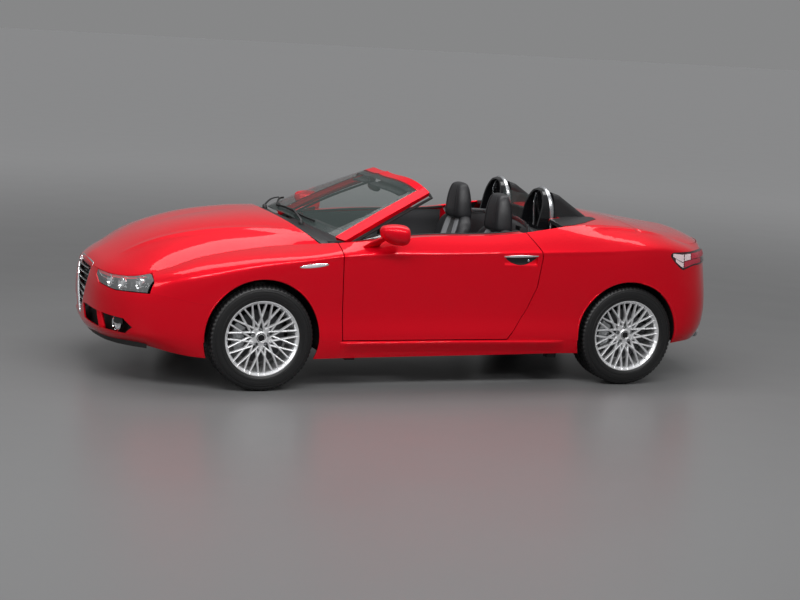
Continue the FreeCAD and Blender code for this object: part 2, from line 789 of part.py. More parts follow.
def tub_section():
    """Half section of the floor: tunnel, pan and sill, as (offset, height)."""
    half_tunnel = size("tunnel_width") / 2
    top = FLOOR + size("tunnel_height")
    pan = FLOOR + SHEET_WALL
    sill_in = SILL_OUT - size("sill_width") - 25
    kerb = DOOR_TRIM_LOW - GAP
    return [(0, top), (half_tunnel, top), (half_tunnel + SHEET_WALL, pan), (sill_in, pan),
            (sill_in, SILL_TOP + KERB_RISE), (kerb, SILL_TOP + KERB_RISE), (kerb, SILL_TOP - 2),
            (SILL_OUT, SILL_TOP - 2), (SILL_OUT, FLOOR), (half_tunnel, FLOOR),
            (half_tunnel - SHEET_WALL, top - SHEET_WALL), (0, top - SHEET_WALL)]


def wheel_house(axle, gap, inner):
    x = FRONT_AXLE if axle == "front" else REAR_AXLE
    radius = TYRE_RADIUS + gap
    return Part.makeCylinder(radius, 1200 - inner, Vector(x, -1200, TYRE_RADIUS), Vector(0, 1, 0))


LINER_IN_FRONT = 470.0
LINER_IN_REAR = 600.0
FIREWALL = 440.0
BULKHEAD = 2040.0
JACKING_STATIONS = (600, 2010)
JACKING_OFFSET = 790
JACKING_PAD = 64
BOOT_END = 3150
BOOT_FLOOR = 330
BOOT_SIDE = LINER_IN_REAR - 10
SLAM_PANEL = (-862, -846)
SEAL_ENDS = (800, 1500)


def buffers():
    """What the closed bonnet, rear lids and door, and the windscreen frame, rest on."""
    slam_panel = block(along(SLAM_PANEL[0]), along(SLAM_PANEL[1]), -300, 0, 490, 850)
    boot_post = block(along(BOOT_END), along(BOOT_END) + SHEET_WALL, -340, -300, 830, 1100)
    cover_post = block(along(2150), along(2190), -BOOT_SIDE, -BOOT_SIDE + SHEET_WALL, 880, 1200)
    seal = block(along(SEAL_ENDS[0]), along(SEAL_ENDS[1]), -(DOOR_TRIM_LOW - SEAM), -(DOOR_TRIM_LOW - GAP - 1),
                 SILL_TOP + 8, SILL_TOP + KERB_RISE - 2)
    ledge = block(along(445), along(482), -738, -700, 860, 928)
    root = block(along(470), along(575), -738, -692, 888, 928)
    lids = {name: above_lid(patch) for name, patch in LID_PATCHES.items()}
    frame_foot = ledge.fuse(root).cut(parts["windscreen_frame"].Shape).cut(parts["cowl"].Shape)
    rests = ((slam_panel, "bonnet"), (boot_post, "boot_lid"), (cover_post, "tonneau_cover"))
    return [post.cut(lids[name]) for post, name in rests] + [seal, frame_foot]


RAIL_START = -820
RAIL_HEIGHT = 330


def build_platform():
    tub = front_prism(tub_section(), FIREWALL, BULKHEAD + SHEET_WALL)
    firewall = block(along(FIREWALL), along(FIREWALL) + SHEET_WALL, -845, 0, FLOOR, 880)
    post = block(along(FIREWALL), along(DOOR_FRONT[0][0]) - GAP - 14, -960, -700, FLOOR, 880)
    bulkhead = block(along(BULKHEAD), along(BULKHEAD) + SHEET_WALL, -735, 0, FLOOR, 980)
    rail_in = LINER_IN_FRONT - 10 - size("rail_width")
    rail_out = rail_in + size("rail_width")
    rail_top = RAIL_HEIGHT + size("rail_height")
    rail = block(along(RAIL_START), along(FIREWALL), -rail_out, -rail_in, RAIL_HEIGHT, rail_top)
    riser = block(along(FIREWALL) - 60, along(FIREWALL), -rail_out, -rail_in, FLOOR, RAIL_HEIGHT)
    beam = block(along(RAIL_START) - 40, along(RAIL_START), -620, 0, 380, 500)
    boot_start = along(BULKHEAD)
    boot_end_x = along(BOOT_END)
    boot_floor = block(boot_start, boot_end_x, -BOOT_SIDE, 0, BOOT_FLOOR, BOOT_FLOOR + SHEET_WALL)
    boot_side = block(boot_start, boot_end_x, -BOOT_SIDE, -BOOT_SIDE + SHEET_WALL, BOOT_FLOOR, 890)
    boot_end = block(boot_end_x, boot_end_x + SHEET_WALL, -BOOT_SIDE, 0, BOOT_FLOOR, 840)
    post_foot = SILL_TOP + 2
    rear_post = side_prism([(1880, post_foot), (2110, post_foot), (2110, 960), (1910, 960), (1895, 900),
                            (1890, 800), (1862, 640), (1800, 500), (1730, 400), (1700, post_foot)], 700, 900)
    whole = tub
    for piece in (firewall, post, bulkhead, rail, riser, beam, boot_floor, boot_side, boot_end, rear_post):
        whole = whole.fuse(piece)
    outside = block(-4000, 4000, -2000, -460, 0, 1500).cut(inside)
    whole = whole.cut(outside)
    whole = whole.cut(parts["tail_lamps"].Shape)
    whole = whole.cut(wheel_house("front", size("liner_gap") + 4, LINER_IN_FRONT - 4))
    whole = whole.cut(wheel_house("rear", size("arch_gap") + 8, LINER_IN_REAR - 4))
    for station in JACKING_STATIONS:
        pad_x = along(station)
        reach = JACKING_PAD / 2
        whole = whole.fuse(block(pad_x - reach, pad_x + reach, -JACKING_OFFSET - reach, -JACKING_OFFSET + reach,
                                 FLOOR - 10, FLOOR + 60))
    for piece in buffers():
        whole = whole.fuse(piece)
    both = whole.fuse(mirrored(whole))
    add("platform", one_solid(both))


def build_liners():
    liners = []
    wells = (("front", size("liner_gap"), LINER_IN_FRONT), ("rear", size("arch_gap") + 4, LINER_IN_REAR))
    for axle, gap, inner in wells:
        outer_shape = wheel_house(axle, gap + 4, inner - 4)
        inner_shape = wheel_house(axle, gap, inner)
        liner = outer_shape.cut(inner_shape).common(inside)
        liner = liner.common(block(-4000, 4000, -2000, 0, 260, 1500))
        if axle == "front":
            tower = Part.makeCylinder(90, 400, Vector(FRONT_AXLE, -600, 600), Vector(0, 0, 1))
            liner = liner.cut(tower)
        liners += one_solid(liner).Solids
    as_pair("arch_liners", Part.makeCompound(liners))


build_platform()
build_liners()


# Wheels.
def wheel_centre(axle):
    if axle == "front":
        return Vector(FRONT_AXLE, -size("front_track") / 2, TYRE_RADIUS)
    return Vector(REAR_AXLE, -size("rear_track") / 2, TYRE_RADIUS)


def profile_revolved(outline):
    """A ring from an outline of (offset from the middle plane, radius) points."""
    wire = Part.makePolygon([Vector(0, -o, r) for o, r in outline + outline[:1]])
    return Part.Face(wire).revolve(Vector(0, 0, 0), Vector(0, 1, 0), 360)


TYRE_FACETS = 60


def facet_ring(outline, count):
    """A ring of flat facets from an outline of (offset from the middle plane, radius) points."""
    turns = [Rotation(Vector(0, 1, 0), 360.0 * i / count) for i in range(count)]
    rings = [[turn.multVec(Vector(0, -o, r)) for o, r in outline] for turn in turns]
    faces = []
    for i in range(count):
        near, far = rings[i], rings[(i + 1) % count]
        for k in range(len(outline)):
            after = (k + 1) % len(outline)
            corners = [near[k], near[after], far[after], far[k]]
            faces.append(Part.Face(Part.makePolygon(corners + corners[:1])))
    shell = Part.makeShell(faces)
    shell.sewShape()
    ring = Part.makeSolid(Part.Shell(shell.Faces))
    if ring.Volume < 0:
        ring.reverse()
    return ring


def tyre_shape():
    half = size("tyre_width") / 2
    bead = size("rim_radius") - 14
    bead_half = size("rim_width") * 0.43
    outline = [(bead_half, bead), (bead_half, size("rim_radius") + 1), (half, (bead + TYRE_RADIUS) / 2 + 4),
               (half * 0.96, TYRE_RADIUS - 24), (half * 0.82, TYRE_RADIUS - 5), (half * 0.5, TYRE_RADIUS)]
    mirrored_half = [(-o, r) for o, r in outline[::-1]]
    return facet_ring(outline + mirrored_half, TYRE_FACETS)


FORK_LEAN = 7.0
FORK_SHARE = 0.55


HUB_SEAT = 23


def rim_shape():
    half = size("rim_width") / 2
    lip = size("rim_radius")
    seat = lip - 14 - 1.0
    t = size("rim_wall")
    barrel = profile_revolved([(half, lip), (half, lip - 9), (half - 12, seat - t), (-half + 4, seat - t - 4),
                               (-half, lip - 9), (-half, lip), (-half * 0.87, lip), (-half * 0.86 - 1, seat),
                               (half * 0.86 + 1, seat), (half * 0.87, lip)])
    hub_face = 62
    rim_of_hub = size("hub_radius")
    hub = profile_revolved([(hub_face, 0), (hub_face, 30), (hub_face - 4, rim_of_hub), (HUB_SEAT, rim_of_hub - 6),
                            (HUB_SEAT, 0)])
    count = int(size("spoke_count"))
    blades = [hub]
    for index in range(count):
        for lean in (-FORK_LEAN, FORK_LEAN):
            root = Vector(0, 0, rim_of_hub - 10)
            mid = Vector(0, 0, seat * FORK_SHARE)
            tip_angle = math.radians(lean)
            tip = Vector(math.sin(tip_angle), 0, math.cos(tip_angle)) * (seat - 2)
            spoke = fork_blade(root, mid, tip, size("spoke_width"))
            spoke.rotate(Vector(0, 0, 0), Vector(0, 1, 0), 360.0 * index / count)
            blades.append(spoke)
    return barrel.multiFuse(blades)


def fork_blade(root, mid, tip, width):
    """One branch of a forked spoke: a stem and an outward leaning arm."""
    run = tip - mid
    normal = Vector(run.z, 0, -run.x).normalize()
    face_out = -(size("rim_width") / 2 - 8)
    face_hub = -60
    half = width / 2
    points = [mid + normal * half, tip + normal * half, tip - normal * half, mid - normal * half]
    arm = loft_blade(points, face_hub - 14, face_out, 20)
    stem = [root + Vector(half + 1, 0, 0), mid + Vector(half + 1, 0, 4), mid - Vector(half + 1, 0, -4),
            root - Vector(half + 1, 0, 0)]
    return arm.fuse(loft_blade(stem, face_hub, face_hub - 16, 26))


def loft_blade(points, depth_near, depth_far, thickness):
    near0, far0, far1, near1 = points
    face = [Vector(near0.x, depth_near, near0.z), Vector(far0.x, depth_far, far0.z),
            Vector(far1.x, depth_far, far1.z), Vector(near1.x, depth_near, near1.z)]
    front = Part.makePolygon(face + face[:1])
    return Part.Face(front).extrude(Vector(0, thickness, 0))


def disc_shape():
    t = size("disc_thickness")
    r = size("disc_radius")
    hat = [(23, 0), (23, 70), (16, 74), (10, 78)]
    ring = [(10, r), (10 - t, r), (10 - t, 95), (2, 88), (2, 60), (2, 0)]
    return profile_revolved(hat + ring)


ARM_TOP = 180
KINGPIN_IN = 50


def knuckle_shape(axle):
    """Hub carrier with its caliper and, in front, the strut on its leaning axis."""
    hub = Part.makeCylinder(52, 84, Vector(0, -2 + SEAM, 0), Vector(0, 1, 0))
    width = size("disc_thickness") + 8
    disc_room = Part.makeCylinder(size("disc_radius") + 4, width, Vector(0, -14, 0), Vector(0, 1, 0))
    side = -1 if axle == "front" else 1
    caliper = block(-178, -88, -20, 56, -72, 72) if side < 0 else block(88, 178, -20, 56, -72, 72)
    arm = block(min(side * 100, 0), max(side * 100, 0), 40, 62, -30, 30)
    carrier = hub.fuse(caliper.cut(disc_room)).fuse(arm)
    keel_foot = ARM_TOP + SEAM - TYRE_RADIUS
    keel = Part.makeCylinder(22, -40 - keel_foot, Vector(0, KINGPIN_IN, keel_foot))
    return carrier.fuse(keel)


def build_wheels():
    tyre = tyre_shape()
    rim = rim_shape()
    disc = disc_shape()
    rear_carriers = []
    for axle, letter in (("front", "f"), ("rear", "r")):
        centre = wheel_centre(axle)
        carrier = knuckle_shape(axle)
        for side, flip in (("l", False), ("r", True)):
            for name, shape in (("tyre", tyre), ("rim", rim), ("disc", disc), ("knuckle", carrier)):
                placed = shape.copy()
                placed.translate(centre)
                if flip:
                    placed = mirrored(placed)
                if name == "knuckle" and axle == "rear":
                    rear_carriers.append(placed)
                else:
                    add("%s_%s%s" % (name, letter, side), placed)
    add("rear_knuckles", Part.makeCompound(rear_carriers))


build_wheels()


def build_suspension():
    ball_y = size("front_track") / 2 - 58
    cradle = block(FRONT_AXLE - 160, FRONT_AXLE + 190, -380, 0, 210, 270)
    leg = block(FRONT_AXLE - 30, FRONT_AXLE + 30, -LINER_IN_FRONT + 12, -380, 210, 330)
    arm = block(FRONT_AXLE - 24, FRONT_AXLE + 24, -ball_y - 22, -380, 152, ARM_TOP)
    knee = block(FRONT_AXLE - 30, FRONT_AXLE + 30, -400, -360, 152, 215)
    half = cradle.fuse(leg).fuse(arm).fuse(knee)
    front = one_solid(half.fuse(mirrored(half)))
    ball_y = size("rear_track") / 2 - 58
    cradle = block(REAR_AXLE - 200, REAR_AXLE + 200, -420, 0, 250, 329.7)
    arm = block(REAR_AXLE - 24, REAR_AXLE + 24, -ball_y - 22, -420, 152, ARM_TOP)
    knee = block(REAR_AXLE - 30, REAR_AXLE + 30, -440, -400, 152, 255)
    half = cradle.fuse(arm).fuse(knee)
    rear = one_solid(half.fuse(mirrored(half)))
    add("subframes", Part.makeCompound(front.Solids + rear.Solids))


build_suspension()


# Engine block, bound to the sheet.
def build_engine():
    engine = doc.addObject("Part::Box", "EngineBlock")
    engine.setExpression("Length", "Sizes.engine_length")
    engine.setExpression("Width", "Sizes.engine_width")
    engine.setExpression("Height", "Sizes.engine_height")
    engine.Placement = Placement(Vector(along(-330), -size("engine_width") / 2, 270), Rotation())
    keep(engine, "engine")


build_engine()


# Cabin.
SEAT_FOOT = 90


def build_cabin():
    middle = size("seat_spacing") / 2
    half = size("seat_width") / 2
    floor_top = FLOOR + SHEET_WALL
    seat_foot = floor_top + SEAT_FOOT
    cushion = block(along(1120), along(1640), -middle - half, -middle + half, seat_foot, floor_top + 240)
    cushion = rounded(cushion, 40)
    base = block(along(1180), along(1600), -middle - half + 60, -middle + half - 60, floor_top, seat_foot + 0.5)
    profile = [(1560, floor_top + 190), (1690, floor_top + 150), (1880, 940), (1860, 960), (1760, 960)]
    back = side_prism(profile, middle - half + 10, middle + half - 10)
    back = rounded(back, 25)
    head = side_prism([(1720, 930), (1830, 930), (1850, 1180), (1820, 1222), (1770, 1222), (1735, 1180)],
                      middle - 130, middle + 130)
    head = rounded(head, 22)
    seat = cushion.fuse(base).fuse(back).fuse(head)
    as_pair("seats", one_solid(seat))

    dash_front = FIREWALL + SHEET_WALL
    dash = side_prism([(dash_front, 700), (760, 640), (850, 760), (860, 850), (780, 905), (560, 900),
                       (dash_front, 865)], -20, 655)
    add("dashboard", one_solid(dash.fuse(mirrored(dash))))

    tunnel_top = FLOOR + size("tunnel_height")
    console_end = BULKHEAD - 2
    console = side_prism([(640, tunnel_top), (console_end, tunnel_top), (console_end, tunnel_top + 200),
                          (1500, tunnel_top + 210), (1000, tunnel_top + 160), (800, tunnel_top + 270),
                          (640, tunnel_top + 270)], -100, 100)
    add("console", one_solid(console.cut(parts["dashboard"].Shape)))

    wheel_place = Vector(along(1010), -middle, 800)
    tilt = Rotation(Vector(0, 1, 0), 66)
    rim = doc.addObject("Part::Torus", "SteeringRing")
    rim.setExpression("Radius1", "Sizes.steering_wheel_radius")
    rim.setExpression("Radius2", "Sizes.steering_grip_radius")
    spokes = []
    for angle in (0, 120, 240):
        bar = doc.addObject("Part::Box", "SteeringSpoke")
        bar.setExpression("Length", "Sizes.steering_wheel_radius")
        bar.Width = 30
        bar.Height = 10
        turn = Rotation(Vector(0, 0, 1), angle)
        bar.Placement = Placement(turn.multVec(Vector(0, -15, -5)), turn)
        spokes.append(bar)
    pad = doc.addObject("Part::Cylinder", "SteeringPad")
    pad.Radius = 62
    pad.Height = 50
    pad.Placement = Placement(Vector(0, 0, -30), Rotation())
    joined = doc.addObject("Part::MultiFuse", "SteeringWheel")
    joined.Shapes = [rim, pad] + spokes
    joined.Placement = Placement(wheel_place, tilt)
    keep(joined, "steering_wheel")
    top = wheel_place + tilt.multVec(Vector(0, 0, -30 - SEAM))
    column = tube_between(top, wheel_place + tilt.multVec(Vector(0, 0, -230)), 28)
    add("steering_column", column.cut(parts["dashboard"].Shape))


build_cabin()


HOOP_TUBE_STATION = 2098
HOOP_PLATE = 26


def build_hoops():
    """Each hoop is a hollow shell with a bent tube behind it, on a foot that is bolted to the bulkhead."""
    middle = size("seat_spacing") / 2
    radius = size("hoop_tube") / 4
    bend = size("hoop_width") / 2 - radius
    shoulder_z = HOOP_TOP - radius - bend
    start = Vector(0, -bend, HOOP_BASE)
    shoulder = Vector(0, -bend, shoulder_z)
    crown = Vector(0, 0, shoulder_z + bend)
    far_shoulder = Vector(0, bend, shoulder_z)
    end = Vector(0, bend, HOOP_BASE)
    bow = Part.Arc(shoulder, crown, far_shoulder)
    legs = (Part.LineSegment(start, shoulder), Part.LineSegment(far_shoulder, end))
    path = Part.Wire([legs[0].toShape(), bow.toShape(), legs[1].toShape()])
    ring = Part.Wire(Part.makeCircle(radius, start, Vector(0, 0, 1)))
    hoop = path.makePipeShell([ring], True, False)
    hoop.rotate(Vector(0, 0, HOOP_FOOT), Vector(0, 1, 0), -HOOP_LEAN)
    hoop.translate(Vector(along(HOOP_TUBE_STATION), -middle, 0))
    outline = HOOP_FRONT + HOOP_REAR
    fin = side_prism(list(outline), 0, 600)
    inner_fin = side_prism([(station - HOOP_SHELL, z) for station, z in outline], 0, 600)
    pocket = hoop_arch(HOOP_SHELL, HOOP_START, HOOP_END).common(inner_fin)
    pocket = pocket.common(block(-4000, 4000, -1000, 0, HOOP_FOOT + 60, 1400))
    shell = hoop_arch(0, HOOP_START, HOOP_END).common(fin).cut(pocket)
    half = size("hoop_width") / 2 + 10
    foot_top = HOOP_FOOT + HOOP_PLATE
    foot_end = along(BULKHEAD) - SEAM
    foot = block(along(1960), foot_end, -middle - half, -middle + half, HOOP_FOOT, foot_top)
    hoop = one_solid(shell.fuse(hoop).fuse(foot))
    cross = block(along(1990), foot_end, -middle + half - 1, middle - half + 1, HOOP_FOOT, foot_top)
    add("roll_hoops", hoop.fuse(mirrored(hoop)).fuse(cross).removeSplitter())
    pane_half = middle - half - 2
    foot_x = along(PANE_STATION)
    foot_z = foot_top + SEAM
    pane = block(foot_x, foot_x + PANE_WALL, -pane_half, pane_half, foot_z, PANE_TOP)
    pane.rotate(Vector(foot_x + PANE_WALL, 0, foot_z), Vector(0, 1, 0), PANE_LEAN)
    add("wind_deflector", pane)


PANE_STATION = 2005
PANE_TOP = 1200
PANE_WALL = 6
PANE_LEAN = 8
HOOP_LEAN = 4
FAIRING_ROUND = 38
FAIRING = ((2131, 1000), (2126, 1060), (2094, 1244), (2150, 1226), (2263, 1150), (2400, 1060), (2420, 1000))
FAIRING_HALF = 128


def build_fairings():
    """Streamlined humps behind the hoops, which stand on the front lid."""
    middle = size("seat_spacing") / 2
    hump = side_prism(list(FAIRING), middle - FAIRING_HALF, middle + FAIRING_HALF)
    hump = rounded(hump, FAIRING_ROUND, lambda edge: edge.BoundBox.XLength > edge.BoundBox.ZLength
                   and edge.BoundBox.YLength < 1 and edge.BoundBox.ZMin > 1020)
    above = hump.cut(parts["tonneau_cover"].Shape)
    top = max(above.Solids, key=lambda solid: solid.CenterOfMass.z)
    as_pair("hoop_fairings", top)


build_hoops()
build_fairings()


MIRROR_STATION = 800
MIRROR_OFFSET = 965
MIRROR_HEIGHT = 1000


def build_mirrors():
    """A rounded housing on a short stalk that stands on the door's shoulder."""
    half = size("mirror_width") / 2
    x, y = along(MIRROR_STATION), -across(MIRROR_OFFSET)
    profile = [(-95, 20), (-40, 62), (40, 74), (85, 66), (85, -62), (20, -84), (-50, -62)]
    points = [Vector(x + dx, y - half, MIRROR_HEIGHT + dz) for dx, dz in profile]
    housing = Part.Face(Part.makePolygon(points + points[:1])).extrude(Vector(0, 2 * half, 0))
    housing = rounded(housing, 30)
    stalk = tube_between(Vector(along(700), -across(800), 905), Vector(along(790), -across(905), 985), 16)
    mirror = housing.fuse(stalk).cut(parts["door_left"].Shape)
    both_sides("mirror", one_solid(mirror))


build_mirrors()


TIP_OFFSETS = (330, 430)
TIP_START = 3120
TIP_END = 3300
TIP_HEIGHT = 284
TIP_WALL = 4
SILENCER_START = 2940
SILENCER_HALF = 480


def build_exhaust():
    tips = []
    radius = size("exhaust_tip_radius")
    length = TIP_END - TIP_START
    for offset in TIP_OFFSETS:
        root = Vector(along(TIP_START), -offset, TIP_HEIGHT)
        outer = Part.makeCylinder(radius, length, root, Vector(1, 0, 0))
        bore = Part.makeCylinder(radius - TIP_WALL, length, root + Vector(40, 0, 0), Vector(1, 0, 0))
        tips.append(outer.cut(bore))
    box = block(along(SILENCER_START), along(TIP_START) + 1, -SILENCER_HALF, SILENCER_HALF,
                TIP_HEIGHT - 44, TIP_HEIGHT + 46)
    shape = box
    for tip in tips:
        shape = shape.fuse(tip).fuse(mirrored(tip))
    add("exhaust", one_solid(shape))


build_exhaust()

doc.recompute()
os.makedirs("parts", exist_ok=True)
for feature in doc.Objects:
    if "Invalid" in feature.State or "Error" in feature.State:
        raise RuntimeError("%s: %s" % (feature.Name, feature.State))
for name, feature in parts.items():
    shape = feature.Shape
    if shape.isNull() or not shape.isValid() or not shape.Solids:
        raise RuntimeError("%s has no valid shape" % name)
for name, feature in parts.items():
    feature.Shape.exportStep("parts/%s.step" % name)
print("%d parts" % len(parts))
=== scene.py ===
import json
import math

import bpy
import bmesh
from mathutils import Matrix, Vector
from mathutils.bvhtree import BVHTree

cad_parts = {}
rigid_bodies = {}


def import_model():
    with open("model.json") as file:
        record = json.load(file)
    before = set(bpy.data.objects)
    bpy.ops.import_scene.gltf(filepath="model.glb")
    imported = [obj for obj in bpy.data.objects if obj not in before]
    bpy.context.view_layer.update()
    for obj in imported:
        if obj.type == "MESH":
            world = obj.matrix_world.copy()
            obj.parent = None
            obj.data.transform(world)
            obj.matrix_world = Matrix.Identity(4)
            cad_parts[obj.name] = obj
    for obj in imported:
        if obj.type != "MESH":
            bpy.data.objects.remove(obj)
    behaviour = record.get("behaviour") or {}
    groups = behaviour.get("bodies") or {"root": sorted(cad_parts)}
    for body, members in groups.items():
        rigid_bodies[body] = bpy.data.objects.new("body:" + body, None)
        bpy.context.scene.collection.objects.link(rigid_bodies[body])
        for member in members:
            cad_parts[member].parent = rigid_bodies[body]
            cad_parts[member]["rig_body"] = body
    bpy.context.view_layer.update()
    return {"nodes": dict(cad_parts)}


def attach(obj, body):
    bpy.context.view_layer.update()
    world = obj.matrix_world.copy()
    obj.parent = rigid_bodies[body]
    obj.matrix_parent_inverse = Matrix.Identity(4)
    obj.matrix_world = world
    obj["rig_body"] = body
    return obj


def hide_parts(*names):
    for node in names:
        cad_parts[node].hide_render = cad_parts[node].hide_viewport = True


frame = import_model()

scene = bpy.context.scene
nodes = frame["nodes"]
CAR = "car_body"
WORD = {-1: "left", 1: "right"}

# Camera at the photograph's place and angle.
CAMERA_PLACE = (-4.008, -10.941, 2.297)
YAW, PITCH, ROLL = (math.radians(angle) for angle in (-20.16, -9.12, 3.37))
FOCAL_PIXELS, PHOTO_PIXELS, SENSOR = 1707, 800, 36


def make_camera():
    ahead = Vector((-math.sin(YAW) * math.cos(PITCH), math.cos(YAW) * math.cos(PITCH), math.sin(PITCH)))
    level = Vector((math.cos(YAW), math.sin(YAW), 0))
    upright = level.cross(ahead)
    right = math.cos(ROLL) * level + math.sin(ROLL) * upright
    up = math.cos(ROLL) * upright - math.sin(ROLL) * level
    data = bpy.data.cameras.new("camera")
    data.lens = FOCAL_PIXELS / PHOTO_PIXELS * SENSOR
    data.sensor_width = SENSOR
    data.clip_end = 200
    camera = bpy.data.objects.new("camera", data)
    turn = Matrix((right, up, -ahead)).transposed().to_4x4()
    camera.matrix_world = Matrix.Translation(CAMERA_PLACE) @ turn
    scene.collection.objects.link(camera)
    scene.camera = camera


make_camera()


# Materials.
def shader_of(m):
    return m.node_tree.nodes["Principled BSDF"]


def material(name, color, rough, metal=0.0, **sockets):
    m = bpy.data.materials.new(name)
    m.use_nodes = True
    values = {"Base Color": (*color, 1), "Roughness": rough, "Metallic": metal}
    values.update((key.replace("_", " "), value) for key, value in sockets.items())
    for key, value in values.items():
        shader_of(m).inputs[key].default_value = value
    return m


def noise(m, scale, detail=3.0, kind="ShaderNodeTexNoise"):
    tree = m.node_tree
    place = tree.nodes.new("ShaderNodeTexCoord")
    tex = tree.nodes.new(kind)
    tex.inputs["Scale"].default_value = scale
    tex.inputs["Detail"].default_value = detail
    tree.links.new(place.outputs["Object"], tex.inputs["Vector"])
    return tex


def between(m, tex, kind, inlet, outlet, socket, **values):
    """A node between a texture and a socket of the shader."""
    tree = m.node_tree
    node = tree.nodes.new(kind)
    for key, value in values.items():
        node.inputs[key.replace("_", " ")].default_value = value
    tree.links.new(tex.outputs[0], node.inputs[inlet])
    tree.links.new(node.outputs[outlet], shader_of(m).inputs[socket])
    return node


def bump(m, tex, strength, distance):
    between(m, tex, "ShaderNodeBump", "Height", "Normal", "Normal", Strength=strength, Distance=distance)


def vary_rough(m, tex, low, high):
    between(m, tex, "ShaderNodeMapRange", "Value", "Result", "Roughness", To_Min=low, To_Max=high)


def vary_color(m, tex, dark, light):
    stops = between(m, tex, "ShaderNodeValToRGB", "Fac", "Color", "Base Color").color_ramp.elements
    for stop, place, color in zip(stops, (0.3, 0.7), (dark, light)):
        stop.position, stop.color = place, (*color, 1)


def make_paint(name, coat):
    """Metallic red paint: fine flakes under a clear coat."""
    m = material(name, (0.72, 0.0008, 0.012), 0.36, 0.38, Specular_IOR_Level=0.04, Coat_Weight=coat,
                 Coat_Roughness=0.025, Coat_IOR=1.3)
    vary_color(m, noise(m, 900, 2.0), (0.66, 0.0006, 0.010), (0.78, 0.001, 0.015))
    vary_rough(m, noise(m, 3.0, 2.0), 0.34, 0.42)
    return m


def make_plastic(name, color, rough, scale, strength):
    m = material(name, color, rough)
    grain = noise(m, scale, 4.0)
    bump(m, grain, strength, 0.0008)
    vary_rough(m, grain, rough - 0.07, min(rough + 0.07, 1.0))
    return m


def make_leather(name, color):
    m = material(name, color, 0.42)
    bump(m, noise(m, 420, kind="ShaderNodeTexVoronoi"), 0.35, 0.0006)
    vary_rough(m, noise(m, 9), 0.36, 0.5)
    return m


def make_ribbed():
    m = material("ribbed_cloth", (0.014, 0.014, 0.016), 0.7, Sheen_Weight=0.25)
    weave = noise(m, 1100, 2.0)
    bump(m, weave, 0.5, 0.0008)
    vary_rough(m, weave, 0.6, 0.85)
    return m


def make_metal(name, color, rough, scale, strength=0.0, metal=1.0):
    m = material(name, color, rough, metal)
    soft = noise(m, scale)
    vary_rough(m, soft, max(rough - 0.05, 0.02), rough + 0.06)
    if strength:
        bump(m, soft, strength, 0.0003)
    return m


def make_glass(name, color, rough, alpha):
    m = material(name, color, rough, Alpha=alpha, IOR=1.5)
    vary_rough(m, noise(m, 4, 2.0), rough, rough + 0.02)
    return m


PAINT = make_paint("paint_red", 1.0)
FRAME_PAINT = make_paint("paint_red_frame", 0.3)
BLACK = make_plastic("plastic_black", (0.012, 0.012, 0.013), 0.45, 500, 0.25)
GLOSS_BLACK = make_plastic("gloss_black", (0.006, 0.006, 0.007), 0.12, 30, 0.02)
GREY_TRIM = make_plastic("trim_grey", (0.045, 0.045, 0.048), 0.55, 600, 0.3)
UNDER = make_plastic("underbody_black", (0.015, 0.015, 0.016), 0.75, 120, 0.3)
RUBBER = make_plastic("tyre_rubber", (0.006, 0.006, 0.0065), 0.46, 240, 0.2)
MESH_BLACK = make_plastic("mesh_black", (0.006, 0.006, 0.006), 0.6, 90, 0.9)
FRIT = make_plastic("screen_border", (0.008, 0.008, 0.009), 0.3, 50, 0.05)
SOFT_RUBBER = make_plastic("seal_rubber", (0.004, 0.004, 0.0045), 0.7, 300, 0.2)
HEADLINER = make_plastic("visor_cloth", (0.05, 0.05, 0.053), 0.85, 700, 0.5)
CHROME = make_metal("chrome", (0.82, 0.83, 0.85), 0.06, 20)
ALLOY = make_metal("alloy_silver", (0.86, 0.865, 0.875), 0.34, 300, 0.03, 0.72)
STEEL = make_metal("steel", (0.42, 0.43, 0.44), 0.38, 90, 0.1)
IRON = make_metal("brake_iron", (0.09, 0.09, 0.094), 0.5, 140, 0.1)
CAST = make_metal("cast_aluminium", (0.45, 0.46, 0.47), 0.5, 260, 0.4)
SILVER = make_metal("silver_trim", (0.66, 0.67, 0.69), 0.24, 200, 0.04)
MIRROR_FACE = make_metal("mirror_face", (0.9, 0.9, 0.91), 0.02, 5)
REFLECTOR = make_metal("reflector", (1.0, 0.86, 0.88), 0.22, 30, metal=0.15)
RED_INNER = make_metal("red_reflector", (0.72, 0.05, 0.09), 0.2, 30, metal=0.5)
SCREEN = make_glass("screen_glass", (0.06, 0.085, 0.08), 0.0, 0.24)
LAMP_GLASS = make_glass("lamp_glass", (0.9, 0.92, 0.94), 0.0, 0.14)
RED_GLASS = make_glass("red_glass", (0.42, 0.01, 0.015), 0.05, 0.85)
BULB = make_glass("bulb_glass", (0.8, 0.82, 0.84), 0.04, 0.6)
DARK_GLASS = make_glass("dark_glass", (0.02, 0.022, 0.022), 0.02, 0.8)
TAIL_COVER = make_glass("tail_cover", (0.6, 0.16, 0.2), 0.02, 0.08)
LEATHER = make_leather("leather_black", (0.012, 0.012, 0.014))
BAND_LEATHER = make_leather("leather_silver", (0.30, 0.305, 0.32))
RIBBED = make_ribbed()

